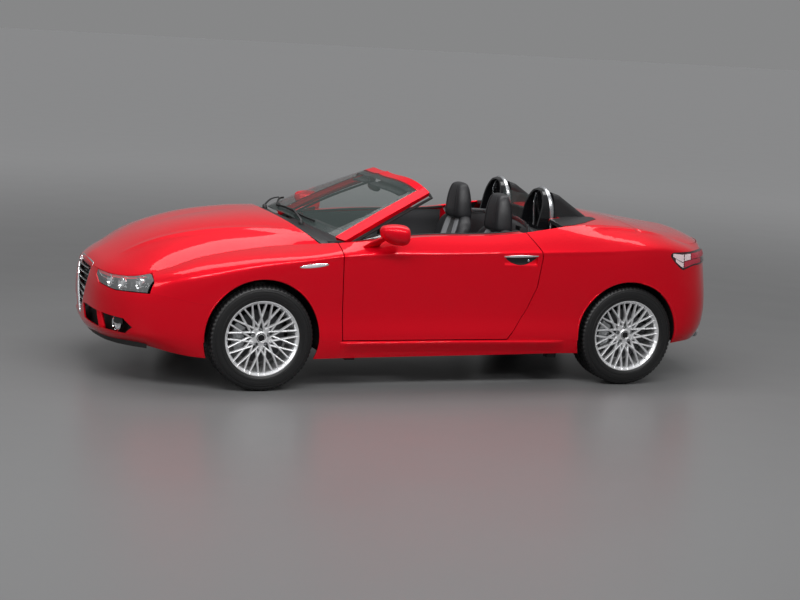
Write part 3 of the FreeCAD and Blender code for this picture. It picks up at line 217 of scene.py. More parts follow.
# The look of each solid, by the start of its name; a later row wins.
LOOKS = (
    (PAINT, "front_bumper front_fender side_skirt quarter_panel rear_bumper tail_lamp"),
    (PAINT, "bonnet boot_lid tonneau door mirror"),
    (CHROME, "grille"), (LAMP_GLASS, "headlamp"), (SCREEN, "windscreen wind_deflector"),
    (FRAME_PAINT, "windscreen_frame"), (UNDER, "platform arch_liner"), (STEEL, "subframe exhaust"), (CAST, "engine"),
    (LEATHER, "seat steering_wheel"), (GREY_TRIM, "dashboard console"), (BLACK, "cowl steering_column hoop_fairings"),
    (GLOSS_BLACK, "roll_hoop"), (IRON, "rear_knuckle knuckle disc"), (RUBBER, "tyre"), (ALLOY, "rim"),
)


def dress(obj, m):
    obj.data.materials.clear()
    obj.data.materials.append(m)


for look, starts in LOOKS:
    for name, obj in nodes.items():
        if name.startswith(tuple(starts.split())):
            dress(obj, look)


# Helpers that build meshes.
FRONT_AXLE = 1211


def st(station):
    """Metres along the car of a station in millimetres behind the front axle."""
    return (station - FRONT_AXLE) / 1000


def steps(first, last, count):
    """Even values from the first to the last, in count steps."""
    return [first + (last - first) * k / count for k in range(count + 1)]


def circle(count, degrees=360):
    """Cosine and sine at even steps of a turn, without its end."""
    turns = (math.radians(degrees) * k / count for k in range(count))
    return [(math.cos(turn), math.sin(turn)) for turn in turns]


def new_piece(name, verts, faces, look, body=CAR, angle=35):
    """A smooth mesh, its faces out, with sharp edges where faces meet at more than an angle."""
    mesh = bpy.data.meshes.new(name)
    mesh.from_pydata([tuple(v) for v in verts], [], faces)
    mesh.validate()
    mesh.polygons.foreach_set("use_smooth", [True] * len(mesh.polygons))
    mesh.materials.append(look)
    obj = bpy.data.objects.new(name, mesh)
    scene.collection.objects.link(obj)
    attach(obj, body)
    work = bmesh.new()
    work.from_mesh(mesh)
    bmesh.ops.remove_doubles(work, verts=work.verts, dist=1e-6)
    bmesh.ops.recalc_face_normals(work, faces=work.faces)
    for edge in work.edges:
        if len(edge.link_faces) == 2:
            edge.smooth = edge.calc_face_angle(0) < math.radians(angle)
    work.to_mesh(mesh)
    work.free()
    return obj


def grid_faces(rows, columns, close_rows=False, close_columns=False):
    faces = []
    for i in range(rows if close_rows else rows - 1):
        near, far = i * columns, (i + 1) % rows * columns
        for j in range(columns if close_columns else columns - 1):
            after = (j + 1) % columns
            faces.append((near + j, near + after, far + after, far + j))
    return faces


def tube_faces(rings, count):
    """Faces of a tube of closed rings, and of its two ends."""
    ends = [tuple(range(count))[::-1], tuple(range((rings - 1) * count, rings * count))]
    return grid_faces(rings, count, False, True) + ends


def smooth_path(points, parts, closed=False):
    """Catmull-Rom points through the given ones."""
    points = [Vector(p) for p in points]
    count = len(points)
    out = []
    for i in range(count if closed else count - 1):
        near = range(i - 1, i + 3)
        a, b, c, d = (points[k % count if closed else max(min(k, count - 1), 0)] for k in near)
        for t in steps(0, 1, parts)[:-1]:
            curve = 2 * b + (c - a) * t + (2 * a - 5 * b + 4 * c - d) * t * t + (3 * b - a - 3 * c + d) * t ** 3
            out.append(0.5 * curve)
    return out if closed else out + [points[-1]]


def bar(name, path, section, look, body=CAR, closed=False, up=(0, 0, 1), angle=35):
    """A bar along a path; section is a list of (sideways, upwards) offsets, or a list of such lists."""
    path = [Vector(p) for p in path]
    count = len(path)
    many = isinstance(section[0][0], (tuple, list))
    verts = []
    for i, spot in enumerate(path):
        ahead = path[(i + 1) % count] if closed or i < count - 1 else spot
        behind = path[i - 1] if closed or i > 0 else spot
        run = (ahead - behind).normalized()
        side = run.cross(Vector(up)).normalized()
        top = side.cross(run).normalized()
        verts += [spot + side * a + top * b for a, b in (section[i] if many else section)]
    size = len(verts) // count
    faces = grid_faces(count, size, True, True) if closed else tube_faces(count, size)
    return new_piece(name, verts, faces, look, body, angle)


def round_section(radius, count=10, squash=1.0):
    return [(radius * c, radius * squash * s) for c, s in circle(count)]


def box_section(wide, tall):
    return [(-wide, -tall), (-wide, tall), (wide, tall), (wide, -tall)]


def revolved(name, profile, place, axis, look, count=48, body=CAR):
    """A turned piece; profile is a list of (distance along the axis, radius)."""
    axis = Vector(axis).normalized()
    first = axis.orthogonal().normalized()
    second = axis.cross(first)
    verts = [Vector(place) + axis * d + (first * c + second * s) * r for c, s in circle(count) for d, r in profile]
    return new_piece(name, verts, grid_faces(count, len(profile), True), look, body)


def sheet_piece(name, rows, look, body=CAR, angle=40):
    verts = [p for row in rows for p in row]
    return new_piece(name, verts, grid_faces(len(rows), len(rows[0])), look, body, angle)


def thick_sheet(name, rows, wall, look):
    obj = sheet_piece(name, rows, look)
    skin = obj.modifiers.new("wall", "SOLIDIFY")
    skin.thickness = wall
    skin.offset = -1
    return obj


def finer(obj):
    fine = obj.modifiers.new("fine", "SUBSURF")
    fine.levels = fine.render_levels = 1


def far_side(obj, name):
    """The like piece on the car's right side."""
    mesh = obj.data
    verts = [(v.co.x, -v.co.y, v.co.z) for v in mesh.vertices]
    faces = [tuple(p.vertices)[::-1] for p in mesh.polygons]
    return new_piece(name, verts, faces, mesh.materials[0], obj["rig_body"])


def plain_between(keys, place):
    """Value at a place on straight runs between (place, value) keys."""
    for (x0, y0), (x1, y1) in zip(keys, keys[1:]):
        if place <= x1:
            return y0 + (y1 - y0) * (place - x0) / (x1 - x0)
    return keys[-1][1]


def along_keys(keys, t):
    """Values at t on smooth runs between (t, values...) keys, which never leave their two keys' range."""
    k = next((k for k in range(len(keys) - 2) if t <= keys[k + 1][0]), len(keys) - 2)
    s = min(max((t - keys[k][0]) / (keys[k + 1][0] - keys[k][0]), 0), 1)
    before, after = keys[max(k - 1, 0)], keys[min(k + 2, len(keys) - 1)]
    out = []
    for a, b, c, d in zip(before[1:], keys[k][1:], keys[k + 1][1:], after[1:]):
        value = 0.5 * (2 * b + (c - a) * s + (2 * a - 5 * b + 4 * c - d) * s * s + (3 * b - a - 3 * c + d) * s ** 3)
        out.append(min(max(value, min(b, c)), max(b, c)))
    return out


def taper(s, rim, power):
    """One in the middle, and little at both ends, where s goes no nearer than rim."""
    return max(math.sin(math.pi * min(max(s, rim), 1 - rim)), 0) ** power


# Wheels: local axes are u along the car, v up and w outwards.
# Each is given by its middle along and across the car, and by the side that it faces.
WHEELS = {"fl": (-1.211, -0.7895, -1), "fr": (-1.211, 0.7895, 1), "rl": (1.317, -0.7795, -1), "rr": (1.317, 0.7795, 1)}
WHEEL_HEIGHT = 0.334
SPOKE_TURN = 1.6  # degrees from upright
SPOKE_PAIRS, STAR_ARMS = 15, 5
CAP_RADIUS, BOLT_RADIUS = 0.0285, 0.0545
TREAD_PITCHES = 216


def lathe(profile, count):
    """A turned mesh round w; profile is a list of (w, radius)."""
    verts = [(r * c, r * s, w) for c, s in circle(count) for w, r in profile]
    return verts, grid_faces(count, len(profile), True)


def merge(meshes):
    verts, faces = [], []
    for v, f in meshes:
        base = len(verts)
        verts += list(v)
        faces += [tuple(base + i for i in face) for face in f]
    return verts, faces


def polar(radius, degrees, w):
    turn = math.radians(degrees)
    return Vector((radius * math.sin(turn), radius * math.cos(turn), w))


def spoke_bar(start, end, width0, width1, depth0, depth1):
    """A chamfered bar between two points of its face."""
    run = Vector((end.x - start.x, end.y - start.y, 0)).normalized()
    side = Vector((-run.y, run.x, 0))
    verts = []
    for spot, width, depth in ((start, width0, depth0), (end, width1, depth1)):
        ring = ((-1, -depth), (-1, -0.006), (-0.62, -0.001), (0, 0.0006), (0.62, -0.001), (1, -0.006), (1, -depth))
        verts += [spot + side * (o * width / 2) + Vector((0, 0, d)) for o, d in ring]
    return verts, tube_faces(2, 7)


def wheel_mesh():
    """Thirty straight ribs that cross in pairs and end on a star of five arms."""
    rim = [(0.106, 0.238), (0.1065, 0.2335), (0.1035, 0.2305), (0.099, 0.2265), (0.094, 0.2215), (0.086, 0.2165),
           (0.05, 0.2135), (0.0, 0.212), (-0.06, 0.212), (-0.09, 0.2155), (-0.1, 0.228), (-0.106, 0.238)]
    hub = [(0.045, 0.028), (0.0755, 0.0285), (0.0775, 0.0305), (0.0775, 0.034), (0.0755, 0.0365), (0.0735, 0.0395),
           (0.06, 0.041), (0.03, 0.042)]
    star = ((0.037, -34, 0.0735), (0.0555, -16.5, 0.0715), (0.074, -12.5, 0.0725), (0.079, 0, 0.073),
            (0.074, 12.5, 0.0725), (0.0555, 16.5, 0.0715), (0.037, 34, 0.0735), (0.034, 0, 0.074))
    pieces = [lathe(rim, 96)]
    for k in range(SPOKE_PAIRS):
        middle = 360 / SPOKE_PAIRS * k + SPOKE_TURN
        for lean, sink in ((-1, 0.0), (1, 0.0004)):
            tip = polar(0.2334, middle + 7.1 * lean, 0.1062 - sink)
            edge = polar(0.2205, middle + 7.1 * lean, 0.0985 - sink)
            fork = polar(0.125, middle, 0.0855 - sink)
            meet = polar(0.0731, middle - 12 * lean, 0.0765 - sink)
            foot = polar(0.0555, middle - 20.5 * lean, 0.0745 - sink)
            pieces += [spoke_bar(edge, tip, 0.0122, 0.0112, 0.012, 0.008),
                       spoke_bar(fork, edge, 0.0132, 0.0122, 0.024, 0.02),
                       spoke_bar(meet, fork, 0.0132, 0.0132, 0.024, 0.024)]
            if abs((24 * k - 20 * lean + 36) % 72 - 36) > 16:
                pieces.append(spoke_bar(foot, meet, 0.0125, 0.0132, 0.03, 0.024))
    for k in range(STAR_ARMS):
        face = [polar(r, 36 + 72 * k + SPOKE_TURN + a, w) for r, a, w in star]
        pieces.append((face + [v - Vector((0, 0, 0.03)) for v in face], tube_faces(2, len(star))))
    return merge(pieces + [lathe(hub, 60)])


def cap_mesh():
    """A domed disc with a turned-down rim."""
    verts = []
    for share in steps(0, 1, 4):
        w = 0.0748 + 0.0025 * (1 - share ** 2) - (0.004 if share == 1 else 0)
        verts += [(CAP_RADIUS * share * c, CAP_RADIUS * share * s, w) for c, s in circle(32)]
    return verts, grid_faces(5, 32, False, True)


def bolts_mesh():
    rings = ((0.03, 0.0088), (0.058, 0.0088), (0.0592, 0.0074), (0.0572, 0.0052), (0.0572, 0))
    pieces = []
    for k in range(STAR_ARMS):
        spot = polar(BOLT_RADIUS, 72 * k + SPOKE_TURN, 0)
        verts = [(spot.x + radius * c, spot.y + radius * s, w) for w, radius in rings for c, s in circle(6)]
        pieces.append((verts, grid_faces(5, 6, False, True)))
    return merge(pieces)


def tyre_mesh():
    """Sidewalls with rings, and a tread with ribs whose blocks are cut by skewed cross grooves."""
    side = [(0.091, 0.2235), (0.0985, 0.228), (0.104, 0.236), (0.1058, 0.2415), (0.1092, 0.244), (0.1128, 0.25),
            (0.1142, 0.2565), (0.1146, 0.2595), (0.1172, 0.2608), (0.1174, 0.265), (0.1156, 0.2664), (0.117, 0.276),
            (0.1172, 0.285), (0.1156, 0.293), (0.1175, 0.2942), (0.117, 0.2985), (0.1144, 0.2998), (0.1118, 0.308),
            (0.1136, 0.3094), (0.1128, 0.3136), (0.109, 0.3205), (0.103, 0.3275)]
    tread = [(0.0975, 0.3295), (0.089, 0.3312), (0.0775, 0.3322), (0.066, 0.3326), (0.0655, 0.3258),
             (0.0555, 0.3258), (0.055, 0.3332), (0.042, 0.3335), (0.0275, 0.3337), (0.027, 0.3262),
             (0.017, 0.3262), (0.0165, 0.3338), (0.0, 0.334)]
    half = side + tread
    profile = half + [(-w, r) for w, r in half[-2::-1]]
    verts = []
    for k, (c, s) in enumerate(circle(TREAD_PITCHES)):
        for index, (w, r) in enumerate(profile):
            skew = k + (abs(w) - 0.03) * 0.55 / (2 * math.pi) * TREAD_PITCHES
            notch = math.floor(skew + 0.5) % 3 == 0
            on_tread = min(index, len(profile) - 1 - index) >= len(side) - 2
            if notch and on_tread and (r > 0.3265 or abs(w) > 0.1):
                r -= 0.0055 if abs(w) > 0.06 else 0.003
            verts.append((r * c, r * s, w))
    return verts, grid_faces(TREAD_PITCHES, len(profile), True)


def place_wheel_piece(name, source, key, look):
    x, y, side = WHEELS[key]
    verts, faces = source
    placed = [(x + side * u, y + side * w, WHEEL_HEIGHT + v) for u, v, w in verts]
    return new_piece(name + "_" + key, placed, faces, look, "wheel_" + key, 38)


def caliper(key, body):
    """A block over the disc's edge, ahead of the axle, with two piston caps."""
    x, y, side = WHEELS[key]
    section = ((0.1, 0.027), (0.1, 0.042), (0.106, 0.047), (0.158, 0.047), (0.174, 0.04), (0.18, 0.025), (0.18, -0.03),
               (0.172, -0.042), (0.11, -0.045), (0.104, -0.04), (0.104, -0.021), (0.169, -0.021), (0.169, 0.027))

    def at(reach, w, turn):
        return (x - reach * math.cos(turn), y + side * w, WHEEL_HEIGHT + reach * math.sin(turn))

    verts = []
    for i, degrees in enumerate(steps(-30, 32, 16)):
        pinch = 0.72 + 0.28 * (1 - abs(i / 8 - 1) ** 3)
        verts += [at(0.14 + (r - 0.14) * pinch if r < 0.165 else r, w, math.radians(degrees)) for r, w in section]
    new_piece("brake_caliper_" + key, verts, tube_faces(17, len(section)), CAST, body, 50)
    for index, degrees in enumerate((12, -14)):
        profile = [(0.0, 0.0185), (0.0045, 0.018), (0.005, 0.014), (0.0035, 0.0125), (0.0035, 0.0)]
        revolved("caliper_piston_%s_%d" % (key, index), profile, at(0.128, 0.045, math.radians(degrees)), (0, side, 0),
                 STEEL, 28, body)


def build_wheels():
    wheel, bolts, tyre, cap = wheel_mesh(), bolts_mesh(), tyre_mesh(), cap_mesh()
    # Painted shade: black discs and rings in the back of each hub, where the real alloy is silver lying in shadow.
    painted_shade_wells = lathe([(0.03, 0.0655), (0.046, 0.0655), (0.046, 0.03)], 48)
    badge = lathe([(0.0755, 0.0245), (0.0772, 0.0238), (0.0774, 0.0225), (0.0768, 0.0215)], 48)
    for key in WHEELS:
        rim = place_wheel_piece("wheel_rim", wheel, key, ALLOY)
        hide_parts("rim_" + key)
        outer = place_wheel_piece("wheel_tyre", tyre, key, RUBBER)
        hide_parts("tyre_" + key)
        place_wheel_piece("wheel_bolts", bolts, key, STEEL)
        # The wells get a black look as painted shade in the hub's depth.
        place_wheel_piece("wheel_wells", painted_shade_wells, key, UNDER)
        place_wheel_piece("wheel_cap", cap, key, GLOSS_BLACK)
        place_wheel_piece("wheel_cap_ring", badge, key, ALLOY)
        caliper(key, {"fl": "upright_fl", "fr": "upright_fr"}.get(key, CAR))


build_wheels()


# Places on the solids, found by looking along an axis.
def tree_of(*names):
    verts, faces = [], []
    for name in names:
        mesh = nodes[name].data
        base = len(verts)
        verts += [v.co.copy() for v in mesh.vertices]
        faces += [[base + i for i in p.vertices] for p in mesh.polygons]
    return BVHTree.FromPolygons(verts, faces)


PANELS = tree_of("front_fenders", "front_bumper", "quarter_panels", "rear_bumper", "side_skirts", "door_left",
                 "door_right", "bonnet", "boot_lid", "tonneau_cover", "windscreen_frame", "cowl", "tail_lamps",
                 "headlamps", "grille")
GLASS = tree_of("windscreen")
LAMP_TREE = tree_of("headlamps")
DOOR = {-1: tree_of("door_left"), 1: tree_of("door_right")}
DASH = tree_of("dashboard")
CONSOLE = tree_of("console")
FENDERS = tree_of("front_fenders")
TAILS = tree_of("tail_lamps", "rear_bumper", "quarter_panels")
QUARTERS = tree_of("quarter_panels")
SKIRTS = tree_of("side_skirts", "front_fenders", "quarter_panels")
ARCHES = tree_of("front_fenders", "quarter_panels", "front_bumper", "rear_bumper", "side_skirts")
BONNET = tree_of("bonnet")
LID = tree_of("tonneau_cover")
REAR_LIDS = tree_of("boot_lid", "tonneau_cover")
FRAME_TREE = tree_of("windscreen_frame")
FRONT_FACE = tree_of("grille", "front_bumper", "bonnet")


def look_at(tree, start, run):
    spot, normal, _, _ = tree.ray_cast(Vector(start), Vector(run))
    if spot is not None and normal.dot(Vector(run)) > 0:
        normal = -normal
    return spot, normal


def nearest(tree, place):
    return tree.find_nearest(Vector(place))[:2]


def on_side(x, z, side, lift, tree):
    spot, normal = look_at(tree, (x, side * 3, z), (0, -side, 0))
    if spot is None or spot.y * side < 0:
        spot, normal = nearest(tree, (x, side * 0.9, z))
    return spot + normal * lift


def on_rear(y, z, lift):
    spot, normal = look_at(PANELS, (5, y, z), (-1, 0, 0))
    if spot is None or spot.x < 1.6:
        spot, normal = nearest(PANELS, (2.1, y, z))
    return spot + normal * lift


def on_top(x, y, lift, tree=PANELS):
    spot, normal = look_at(tree, (x, y, 4), (0, 0, -1))
    if spot is None:
        spot, normal = nearest(tree, (x, y, 1.05))
    return spot + normal * lift


# Headlamps: a dark recess behind a clear cover, with three round lamps in a row.
LAMP_BOTTOM = ((0.330, 0.656), (0.400, 0.610), (0.560, 0.588), (0.760, 0.596))
LAMP_ROWS = 9


def lamp_grid():
    """Points and normals of the left lamp's outer face."""
    grid = []
    for y in steps(-0.336, -0.748, 25):
        low = height = high = plain_between(LAMP_BOTTOM, -y)
        while height < 0.75:
            spot, normal = look_at(LAMP_TREE, (-5, y, height), (1, 0, 0))
            if spot is not None and normal.x < -0.05:
                high = height
            height += 0.002
        grid.append([look_at(LAMP_TREE, (-5, y, low + (high - low) * share), (1, 0, 0))
                     for share in steps(0.02, 0.98, LAMP_ROWS - 1)])
    return grid


def build_headlamp():
    grid = lamp_grid()
    cover = sheet_piece("headlamp_cover_left", [[s - n * 0.0015 for s, n in line] for line in grid], LAMP_GLASS)
    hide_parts("headlamps")
    bowl = []
    for i, line in enumerate(grid):
        edges = [min(i, len(grid) - 1 - i, j, LAMP_ROWS - 1 - j, 2) for j in range(LAMP_ROWS)]
        bowl.append([spot - normal * (0.0035, 0.034, 0.044)[edge] for (spot, normal), edge in zip(line, edges)])
    pieces = [cover, sheet_piece("headlamp_recess_left", bowl, GLOSS_BLACK, CAR, 60)]
    ring = ((-0.024, 0.5), (-0.012, 0.82), (0.004, 0.93), (0.009, 1), (0.006, 1.06), (-0.014, 1.02), (-0.024, 0.95))
    lens = ((-0.02, 0.55), (-0.008, 0.6), (0.001, 0.45), (0.005, 0.22), (0.006, 0.0))
    for index, (column, radius) in enumerate(((9, 0.036), (15, 0.038), (21, 0.036))):
        spot, normal = grid[column][LAMP_ROWS // 2]
        place = spot - normal * 0.022 + Vector((0.004, 0, 0))
        for part, profile, look, count in (("ring", ring, CHROME, 40), ("lens", lens, BULB, 32)):
            pieces.append(revolved("headlamp_%s%d_left" % (part, index), [(d, radius * r) for d, r in profile], place,
                                   (-1, -0.22, 0.03), look, count))
    middles = [line[LAMP_ROWS // 2] for line in grid[1:9]]
    path = [spot - normal * 0.012 + Vector((0, 0, 0.006)) for spot, normal in middles]
    pieces.append(bar("headlamp_line_left", path, round_section(0.0026, 8), CHROME))
    for obj in pieces:
        far_side(obj, obj.name.replace("_left", "_right"))


# Grille: a chrome shield with dark bars in front of a black mesh. Keys are (height, half width).
SHIELD = ((0.350, 0.0), (0.362, 0.035), (0.437, 0.090), (0.517, 0.145), (0.594, 0.185), (0.660, 0.203), (0.694, 0.206))
SHIELD_TOP = ((0.703, 0.150), (0.708, 0.075), (0.710, 0.0), (0.708, -0.075), (0.703, -0.150))


def face_x(y, z):
    """How far forward the front face reaches, read no higher than the shield's shoulders."""
    spot, _ = look_at(FRONT_FACE, (-5, y, min(z, 0.69)), (1, 0, 0))
    return st(-980) if spot is None else spot.x


def build_grille():
    outline = [(z, -y) for z, y in SHIELD[::-1]] + list(SHIELD[1:] + SHIELD_TOP)
    path = [Vector((face_x(y * 1.02, z) + 0.0084 + max(z - 0.69, 0) * 0.4, y, z)) for z, y in outline]
    section = [(-0.006, -0.012), (-0.006, 0.004), (-0.003, 0.0085), (0.003, 0.0085), (0.006, 0.004), (0.006, -0.012)]
    surround = bar("grille_surround", smooth_path(path, 6, True), section, CHROME, closed=True, up=(-1, 0, 0.15))
    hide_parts("grille")
    blade = [(-0.0045, 0.012), (-0.0055, -0.006), (0.0, -0.011), (0.0055, -0.006), (0.0045, 0.012)]
    for index, z in enumerate(steps(0.398, 0.662, 6)):
        half = plain_between(SHIELD, z) - 0.006
        line = [Vector((face_x(0, z) + 0.0134 + 0.25 * y * y, y, z)) for y in steps(-half, half, 8)]
        bar("grille_bar%d" % index, line, blade, GLOSS_BLACK, up=(1, 0, 0))
        edge = [p - Vector((0.0105, 0, 0)) for p in line]
        bar("grille_bar_edge%d" % index, edge, round_section(0.0022, 6), CHROME)
    rows = []
    for z in steps(0.352, 0.705, 8):
        half = plain_between(SHIELD, z) + 0.004
        rows.append([Vector((face_x(0, z) + 0.045, y, z)) for y in steps(-half, half, 8)])
    sheet_piece("grille_mesh", rows, MESH_BLACK)


# Lower intakes with red struts and round fog lamps.
NOSE_PLAN = ((0.0, -2.198), (0.2, -2.19), (0.4, -2.159), (0.56, -2.091), (0.7, -1.981), (0.78, -1.871))


def nose_at(y):
    return plain_between(NOSE_PLAN, abs(y))


def build_intakes():
    rows = [[(nose_at(y) + 0.062, y * 0.96, z) for y in steps(-0.72, 0.72, 24)] for z in steps(0.24, 0.46, 6)]
    sheet_piece("intake_mesh", rows, MESH_BLACK)
    strut = []
    for z in steps(0.322, 0.444, 5):
        shift = (0.444 - z) * 0.35
        strut.append([(nose_at(y + shift) + 0.006 + 0.01 * abs(k - 2), -(y + shift), z)
                      for k, y in enumerate((0.352, 0.362, 0.385, 0.408, 0.418))])
    left = thick_sheet("intake_strut_left", strut, 0.01, PAINT)
    far_side(left, "intake_strut_right").modifiers.new("wall", "SOLIDIFY").thickness = 0.01
    ring = [(-0.03, 0.03), (-0.004, 0.04), (0.004, 0.044), (0.0, 0.048), (-0.03, 0.047)]
    lens = [(-0.02, 0.036), (-0.008, 0.036), (-0.003, 0.024), (-0.001, 0.0)]
    for side, word in WORD.items():
        place, aim = (nose_at(0.565) + 0.028, side * 0.565, 0.378), (-0.9, side * 0.38, 0)
        revolved("fog_ring_" + word, ring, place, aim, CHROME, 36)
        revolved("fog_lens_" + word, lens, place, aim, BULB, 36)


# Windscreen: dark border, seals, mirror, visors and wipers.
def curve_of(points):
    """A curve by share of its length, through (station, offset to the left, height) in millimetres."""
    line = smooth_path([(st(s), -o / 1000, z / 1000) for s, o, z in points], 24)
    lengths = [0.0]
    for a, b in zip(line, line[1:]):
        lengths.append(lengths[-1] + (b - a).length)

    def at(share):
        goal = share * lengths[-1]
        k = next((k for k in range(1, len(line)) if lengths[k] >= goal), None)
        if k is None:
            return line[-1]
        return line[k - 1].lerp(line[k], (goal - lengths[k - 1]) / (lengths[k] - lengths[k - 1]))
    return at


SCREEN_BASE = curve_of([(270, 0, 1040), (330, 350, 1020), (450, 600, 970), (552, 752, 935)])
SCREEN_TOP = curve_of([(1075, 0, 1316), (1085, 250, 1310), (1120, 470, 1290), (1165, 585, 1236)])
SCREEN_MIDDLE = curve_of([(270, 0, 1040), (660, 0, 1200), (1075, 0, 1316)])
SCREEN_SIDE = curve_of([(552, 752, 935), (863, 690, 1098), (1165, 585, 1236)])


def screen_at(u, v, drop):
    """A place on the glass: u runs from base to top, v from the middle to the left and right edges."""
    side = abs(v)
    spot = SCREEN_BASE(side) * (1 - u) + SCREEN_TOP(side) * u + SCREEN_MIDDLE(u) * (1 - side) + SCREEN_SIDE(u) * side
    spot -= (SCREEN_BASE(0) * (1 - side) + SCREEN_BASE(1) * side) * (1 - u)
    spot -= (SCREEN_TOP(0) * (1 - side) + SCREEN_TOP(1) * side) * u
    if v < 0:
        spot.y = -spot.y
    found, _ = look_at(GLASS, (spot.x, spot.y, 4), (0, 0, -1))
    return (spot if found is None else found) - Vector((-0.35, 0, 0.93)) * drop


def build_screen():
    for name, u0, u1, v0, v1, rows, columns in (("low", 0.012, 0.085, -0.885, 0.885, 4, 30),
                                                ("top", 0.845, 0.905, -0.885, 0.885, 4, 30),
                                                ("left", 0.03, 0.9, 0.862, 0.893, 24, 4),
                                                ("right", 0.03, 0.9, -0.893, -0.862, 24, 4)):
        sheet_piece("screen_border_" + name, [[screen_at(u, v, 0.0065) for v in steps(v0, v1, columns)]
                                              for u in steps(u0, u1, rows)], FRIT)
    path = [SCREEN_SIDE(share) + Vector((0.020, 0.010, -0.036)) for share in steps(0, 1, 16)]
    path += [SCREEN_TOP(share) + Vector((0.020, 0, -0.026)) for share in steps(1, 0, 16)[1:]]
    whole = path + [Vector((p.x, -p.y, p.z)) for p in path[-2::-1]]
    bar("screen_seal", whole, round_section(0.011, 10, 0.8), SOFT_RUBBER)
    rear_edge = []
    for y in steps(-0.56, 0.56, 32):
        spots = [look_at(FRAME_TREE, (-0.19 + 0.0025 * k, y, 4), (0, 0, -1))[0] for k in range(60)]
        spots = [spot for spot in spots if spot is not None and spot.z > 1.18]
        if spots:
            rear_edge.append(Vector((spots[-1].x - 0.004, y, min(spots[-1].z + 0.003, 1.3075))))
    bar("header_seal", rear_edge, round_section(0.0085), SOFT_RUBBER)
    verts = []
    for turn in steps(-math.pi / 2, math.pi / 2, 12):
        reach, end = math.cos(turn), 0.005 * abs(math.sin(turn)) ** 4
        verts += [(st(985) + 0.02 * reach * c * (1.15 if c > 0 else 0.8) - end, 0.122 * math.sin(turn),
                   1.212 + 0.034 * reach ** 0.6 * s) for c, s in circle(16)]
    new_piece("inner_mirror", verts, grid_faces(13, 16, False, True), BLACK)
    foot = [(st(985), 0, 1.225), (st(960), 0, 1.25), (st(935), 0, 1.268)]
    bar("inner_mirror_stalk", smooth_path(foot, 5), round_section(0.011), BLACK)
    for side, word in ((1, "left"), (-1, "right")):
        rows = [[screen_at(0.80 + 0.11 * s, side * v, 0.032 + 0.006 * math.sin(math.pi * s))
                 for v in steps(0.12, 0.74, 10)] for s in steps(0, 1, 4)]
        thick_sheet("sun_visor_" + word, rows, 0.014, HEADLINER)
    wiper("wiper_left", (352, -430), (0.055, 0.62), (0.045, 0.02))
    wiper("wiper_right", (262, 130), (0.05, 0.0), (0.16, -0.50))


def wiper(name, pivot, start, end):
    """An arm from its pivot in the cowl to a blade that lies on the glass."""
    foot = on_top(st(pivot[0]), pivot[1] / 1000, 0.004)
    blade = [screen_at(u, v, -0.013) for u, v in zip(steps(start[0], end[0], 10), steps(start[1], end[1], 10))]
    middle = blade[5] + Vector((-0.004, 0, 0.012))
    rise = foot + Vector((0.0, 0, 0.022))
    arm = smooth_path([foot, rise, rise.lerp(middle, 0.5) + Vector((-0.006, 0, 0.012)), middle], 6)
    bar(name + "_arm", arm, box_section(0.006, 0.003), BLACK)
    bar(name + "_blade", blade, [(-0.0035, -0.008), (-0.005, 0.004), (0.005, 0.004), (0.0035, -0.008)], SOFT_RUBBER)
    revolved(name + "_pivot", [(-0.01, 0.016), (0.016, 0.015), (0.024, 0.009), (0.026, 0.0)], foot, (-0.25, 0, 1),
             BLACK, 20)


build_headlamp()
build_grille()
build_intakes()
build_screen()


# Seats: each is drawn on the left and mirrored to the right.
SEAT_MIDDLE = -0.366


